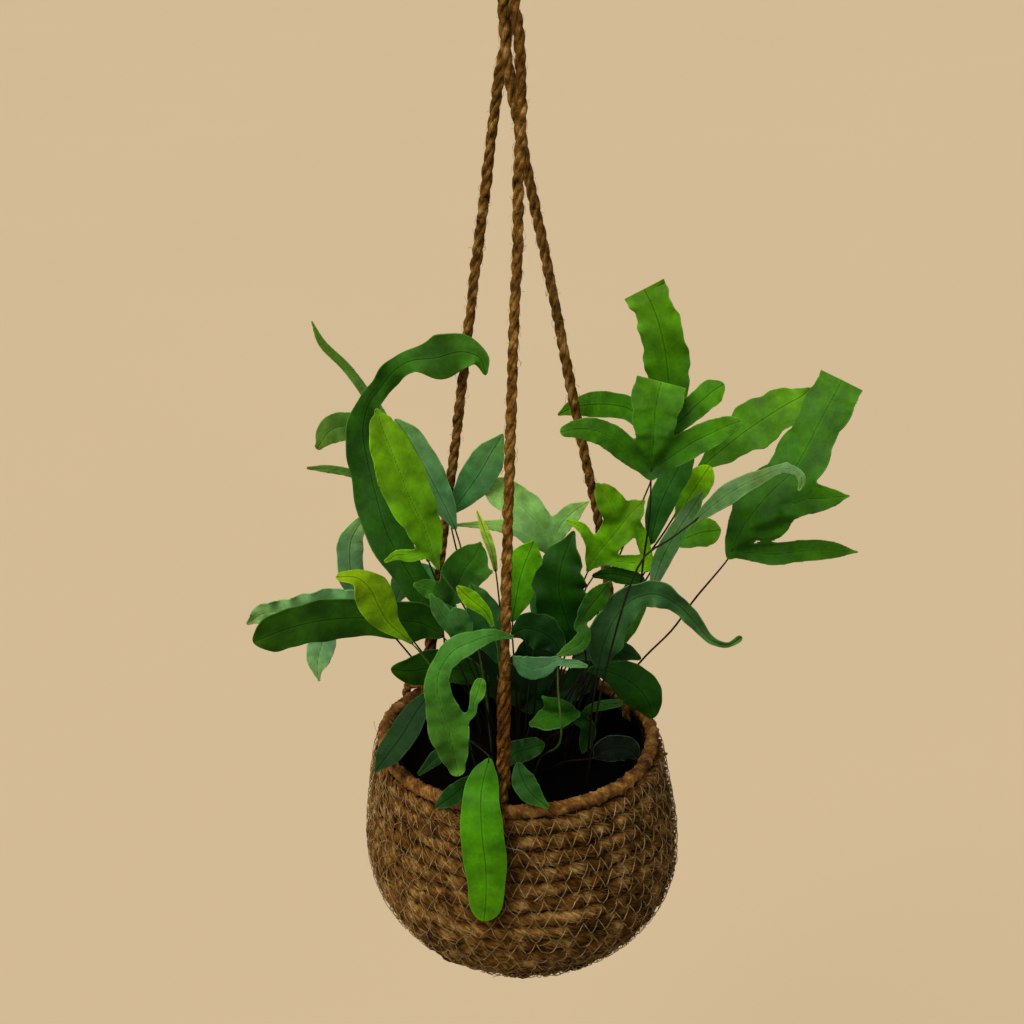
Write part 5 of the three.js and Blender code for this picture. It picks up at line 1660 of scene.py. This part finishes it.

# %% [markdown]
# ### The leaf's surface
#
# All leaves share one group of nodes. It reads how far each place is from the midrib and from the edge,
# which the mesh carries, and draws a dark thin midrib, side veins, a fine net, a pale margin that is a
# painted highlight, and a patchy bloom. Each leaf also carries its own colour, darkened as painted shade
# for the leaves deep among the others. It is darker towards its base, partly as older tissue and partly
# as painted shade, and younger towards its tip. Only the amounts of bloom and of veins differ between the
# kinds.


# %% Leaf surface
BROAD_CLOUDS = 55.0  # the sizes of all noises and nets are how many go in a metre
BLOTCHES = 150.0
SPECKS = 420.0
BLOOM_CLOUDS = 38.0
NET_CELLS = 520.0
VEIN_SPACING = 0.0042
VEIN_LEAN = -0.9
MIDRIB = (0.00012, 0.0005)  # metres from the midrib where its line begins and ends to fade
BESIDE_RIB = (0.0006, 0.0018)
# Painted highlight: the pale margin lightens the edge as if it caught the light.
MARGIN_HIGHLIGHT = (0.0001, 0.0006)
BLOOM_COLOUR = (0.21, 0.33, 0.17, 1)
# A leaf's base is darker, partly as older tissue and partly as painted shade low in the plant.
OLD_AND_SHADED_SHARE = (0.55, 0.62, 0.5)
YOUNG_SHARE = (1.6, 1.2, 0.75)


def leaf_group():
    """Colour, roughness and height of a leaf from its own marks."""
    group = bpy.data.node_groups.new("leaf_surface", "ShaderNodeTree")
    face = group.interface
    for label, value in (("Bloom", 0.2), ("Veins", 0.5)):
        face.new_socket(label, in_out="INPUT", socket_type="NodeSocketFloat").default_value = value
    for label, kind in (("Color", "Color"), ("Roughness", "Float"), ("Height", "Float")):
        face.new_socket(label, in_out="OUTPUT", socket_type="NodeSocket" + kind)
    given = add(group, "NodeGroupInput").outputs
    rib, edge, along, grade = (mark(group, name) for name in ("rib", "edge", "along", "grade"))
    own = mark(group, "tint", "Color")
    place = own_place(group)

    # Darker towards the base, partly older tissue and partly painted shade; younger towards the tip.
    old_and_shaded = vectors(group, "MULTIPLY", own, OLD_AND_SHADED_SHARE)
    young = vectors(group, "MULTIPLY", own, YOUNG_SHARE)
    lower = mixed(group, ranged(group, grade, 0.0, 0.45), old_and_shaded, own)
    tint = mixed(group, ranged(group, grade, 0.45, 1.0, 0.0, 0.75), lower, young)
    broad = noise(group, place, BROAD_CLOUDS, 3.0)
    fine = noise(group, place, SPECKS, 4.0)
    bright = ranged(group, broad, 0.3, 0.7, 0.66, 1.34)
    blotch = ranged(group, noise(group, place, BLOTCHES, 4.0), 0.3, 0.7, 0.84, 1.16)
    speck = ranged(group, fine, 0.3, 0.7, 0.91, 1.09)
    shade = math_node(group, "MULTIPLY", math_node(group, "MULTIPLY", bright, blotch), speck)
    base = scaled(group, tint, shade)

    cloud = noise(group, place, BLOOM_CLOUDS, 5.0, 0.62)
    bloom = math_node(group, "MULTIPLY", ranged(group, cloud, 0.47, 0.68), given["Bloom"])
    bloomed = mixed(group, bloom, base, BLOOM_COLOUR)

    lean = math_node(group, "MULTIPLY_ADD", rib, VEIN_LEAN, along)
    wander = math_node(group, "MULTIPLY_ADD", broad, 0.004, lean)
    wave = math_node(group, "SINE", math_node(group, "MULTIPLY", wander, 2 * math.pi / VEIN_SPACING))
    side_vein = ranged(group, wave, 0.7, 1.0, 0.0, 0.4)
    net_inputs = {"Vector": place, "Scale": NET_CELLS}
    net = add(group, "ShaderNodeTexVoronoi", net_inputs, feature="DISTANCE_TO_EDGE").outputs["Distance"]
    faint_net = math_node(group, "MULTIPLY", ranged(group, net, 0.0, 0.09, 1.0, 0.0), 0.5)
    veins = math_node(group, "MAXIMUM", side_vein, faint_net)
    vein_share = math_node(group, "MULTIPLY", veins, given["Veins"])
    veined = mixed(group, vein_share, bloomed, scaled(group, bloomed, 1.55))

    midrib = ranged(group, rib, *MIDRIB, 1.0, 0.0)
    beside = ranged(group, rib, *BESIDE_RIB, 1.0, 0.0)
    ribbed = mixed(group, beside, veined, scaled(group, veined, 1.16))
    lined = mixed(group, math_node(group, "MULTIPLY", midrib, 0.68), ribbed, scaled(group, veined, 0.38))

    # The pale margin is a painted highlight along the leaf's edge.
    margin = ranged(group, edge, *MARGIN_HIGHLIGHT, 1.0, 0.0)
    paler = {0: lined, 1: (1.6, 1.45, 1.5), 2: (0.05, 0.085, 0.03)}
    rim_highlight = add(group, "ShaderNodeVectorMath", paler, operation="MULTIPLY_ADD").outputs[0]
    whole = mixed(group, math_node(group, "MULTIPLY", margin, 0.6), lined, rim_highlight)

    rough = ranged(group, cloud, 0.35, 0.7, 0.42, 0.6)
    raised = math_node(group, "MULTIPLY_ADD", veins, -0.35, math_node(group, "MULTIPLY", fine, 0.25))
    height = math_node(group, "MULTIPLY_ADD", midrib, -0.8, raised)
    broad_height = math_node(group, "MULTIPLY_ADD", broad, 1.2, height)
    add(group, "NodeGroupOutput", {0: whole, 1: rough, 2: broad_height})
    return group


LEAF = leaf_group()
KINDS = {
    "leaf_dark": {"Bloom": 0.02, "Veins": 0.22},
    "leaf_mid": {"Bloom": 0.07, "Veins": 0.25},
    "leaf_bright": {"Bloom": 0.0, "Veins": 0.28},
    "leaf_blue": {"Bloom": 0.4, "Veins": 0.25},
}


def leaf_material(kind, amounts):
    """A satin leaf of one kind."""
    material, tree = new_material(kind)
    surface = add(tree, "ShaderNodeGroup", node_tree=LEAF)
    for label, value in amounts.items():
        surface.inputs[label].default_value = value
    made = surface.outputs
    end_material(tree, made["Color"], made["Roughness"], 0.1, made["Height"], 0.7, 0.0005)
    return material


LEAF_MATERIALS = {kind: leaf_material(kind, amounts) for kind, amounts in KINDS.items()}
print("leaf surface:", len(LEAF.nodes), "nodes, in", len(KINDS), "kinds")


# %% Stem surface
def stem_material():
    """Wiry stem in its own colour, streaked along its length, and darkened towards the soil as painted
    shade.
    """
    material, tree = new_material("stem")
    longer = vectors(tree, "MULTIPLY", own_place(tree), (1.0, 1.0, 0.15))
    streak = noise(tree, longer, 900.0, 3.0)
    # Painted shade: the stem darkens towards the soil, deep in the basket.
    shade = ranged(tree, mark(tree, "grade"), 0.3, 0.95, 1.0, 0.12)
    darker = math_node(tree, "MULTIPLY", shade, ranged(tree, streak, 0.3, 0.7, 0.6, 1.3))
    tone = scaled(tree, mark(tree, "tint", "Color"), darker)
    end_material(tree, tone, ranged(tree, streak, 0.0, 1.0, 0.4, 0.65), 0.2, streak, 0.4, 0.0003)
    return material


STEM = stem_material()
print("stem surface:", len(STEM.node_tree.nodes), "nodes")


# %% Building the fronds
GREEN_STEMMED = ("front_cross", "left_bright", "mid_lime", "front_curl", "left_lime")
GREEN_STEMS = {"frond_" + name for name in GREEN_STEMMED}
WIRY = linear("#231c0c")
GREEN = linear("#56752a")


def leaf_tint(colour):
    """A leaf's own colour, a little fuller, since light pales it."""
    seen_colour = np.array(linear(colour)[:3])
    grey = seen_colour.mean()
    full = np.maximum(grey + (seen_colour - grey) * 1.06, 0.001) * 1.02
    return [*full.tolist(), 1.0]


def frond_piece(index, spec):
    """One frond: its blade, lobes and stem as one mesh that stands for its solid."""
    main, halves = main_line(spec)
    phase = index * 2.4
    behind = [part for part in spec["lobes"] if part["route"][0][2] >= BEHIND]
    level = [part for part in spec["lobes"] if part not in behind]
    if level:
        parts = [(main, halves, spec)]
        parts += [(*lobe_line(part, main), part) for part in level]
        sheets = [field_sheet(parts, phase)]
    else:
        sheets = [strip_sheet(main, halves, spec, phase)]
    sheets += [strip_sheet(*lobe_line(part, main), part, phase + 3 + k) for k, part in enumerate(behind)]
    places, faces, marks = joined([thickened(*sheet, BLADE_THICK) for sheet in sheets])
    stem_places, stem_faces = stem_body(spec, main, ROOTS[index])
    first = len(places)
    all_faces = [*faces, *[tuple(v + first for v in face) for face in stem_faces]]
    name = spec["name"] + "_leaf"
    mesh = bpy.data.meshes.new(name)
    mesh.from_pydata(np.vstack([places, stem_places]).tolist(), [], all_faces)
    mesh.polygons.foreach_set("use_smooth", [True] * len(all_faces))
    mesh.polygons.foreach_set("material_index", [0] * len(faces) + [1] * len(stem_faces))
    down = np.linspace(0, 1, len(stem_places))
    for key, values in marks.items():
        layer = mesh.attributes.new(key, "FLOAT", "POINT")
        layer.data.foreach_set("value", np.concatenate([values, down if key == "grade" else 0 * down]))
    tint = mesh.attributes.new("tint", "FLOAT_COLOR", "POINT")
    stem_tint = GREEN if spec["name"] in GREEN_STEMS else WIRY
    tint.data.foreach_set("color", leaf_tint(spec["colour"]) * first + stem_tint * len(stem_places))
    mesh.materials.append(LEAF_MATERIALS[SLOTS[spec["name"]]])
    mesh.materials.append(STEM)
    return owned(linked(name, mesh), spec["name"])


face_total = 0
for index, spec in enumerate(FRONDS):
    face_total += len(frond_piece(index, spec).data.polygons)
print("frond faces:", face_total)
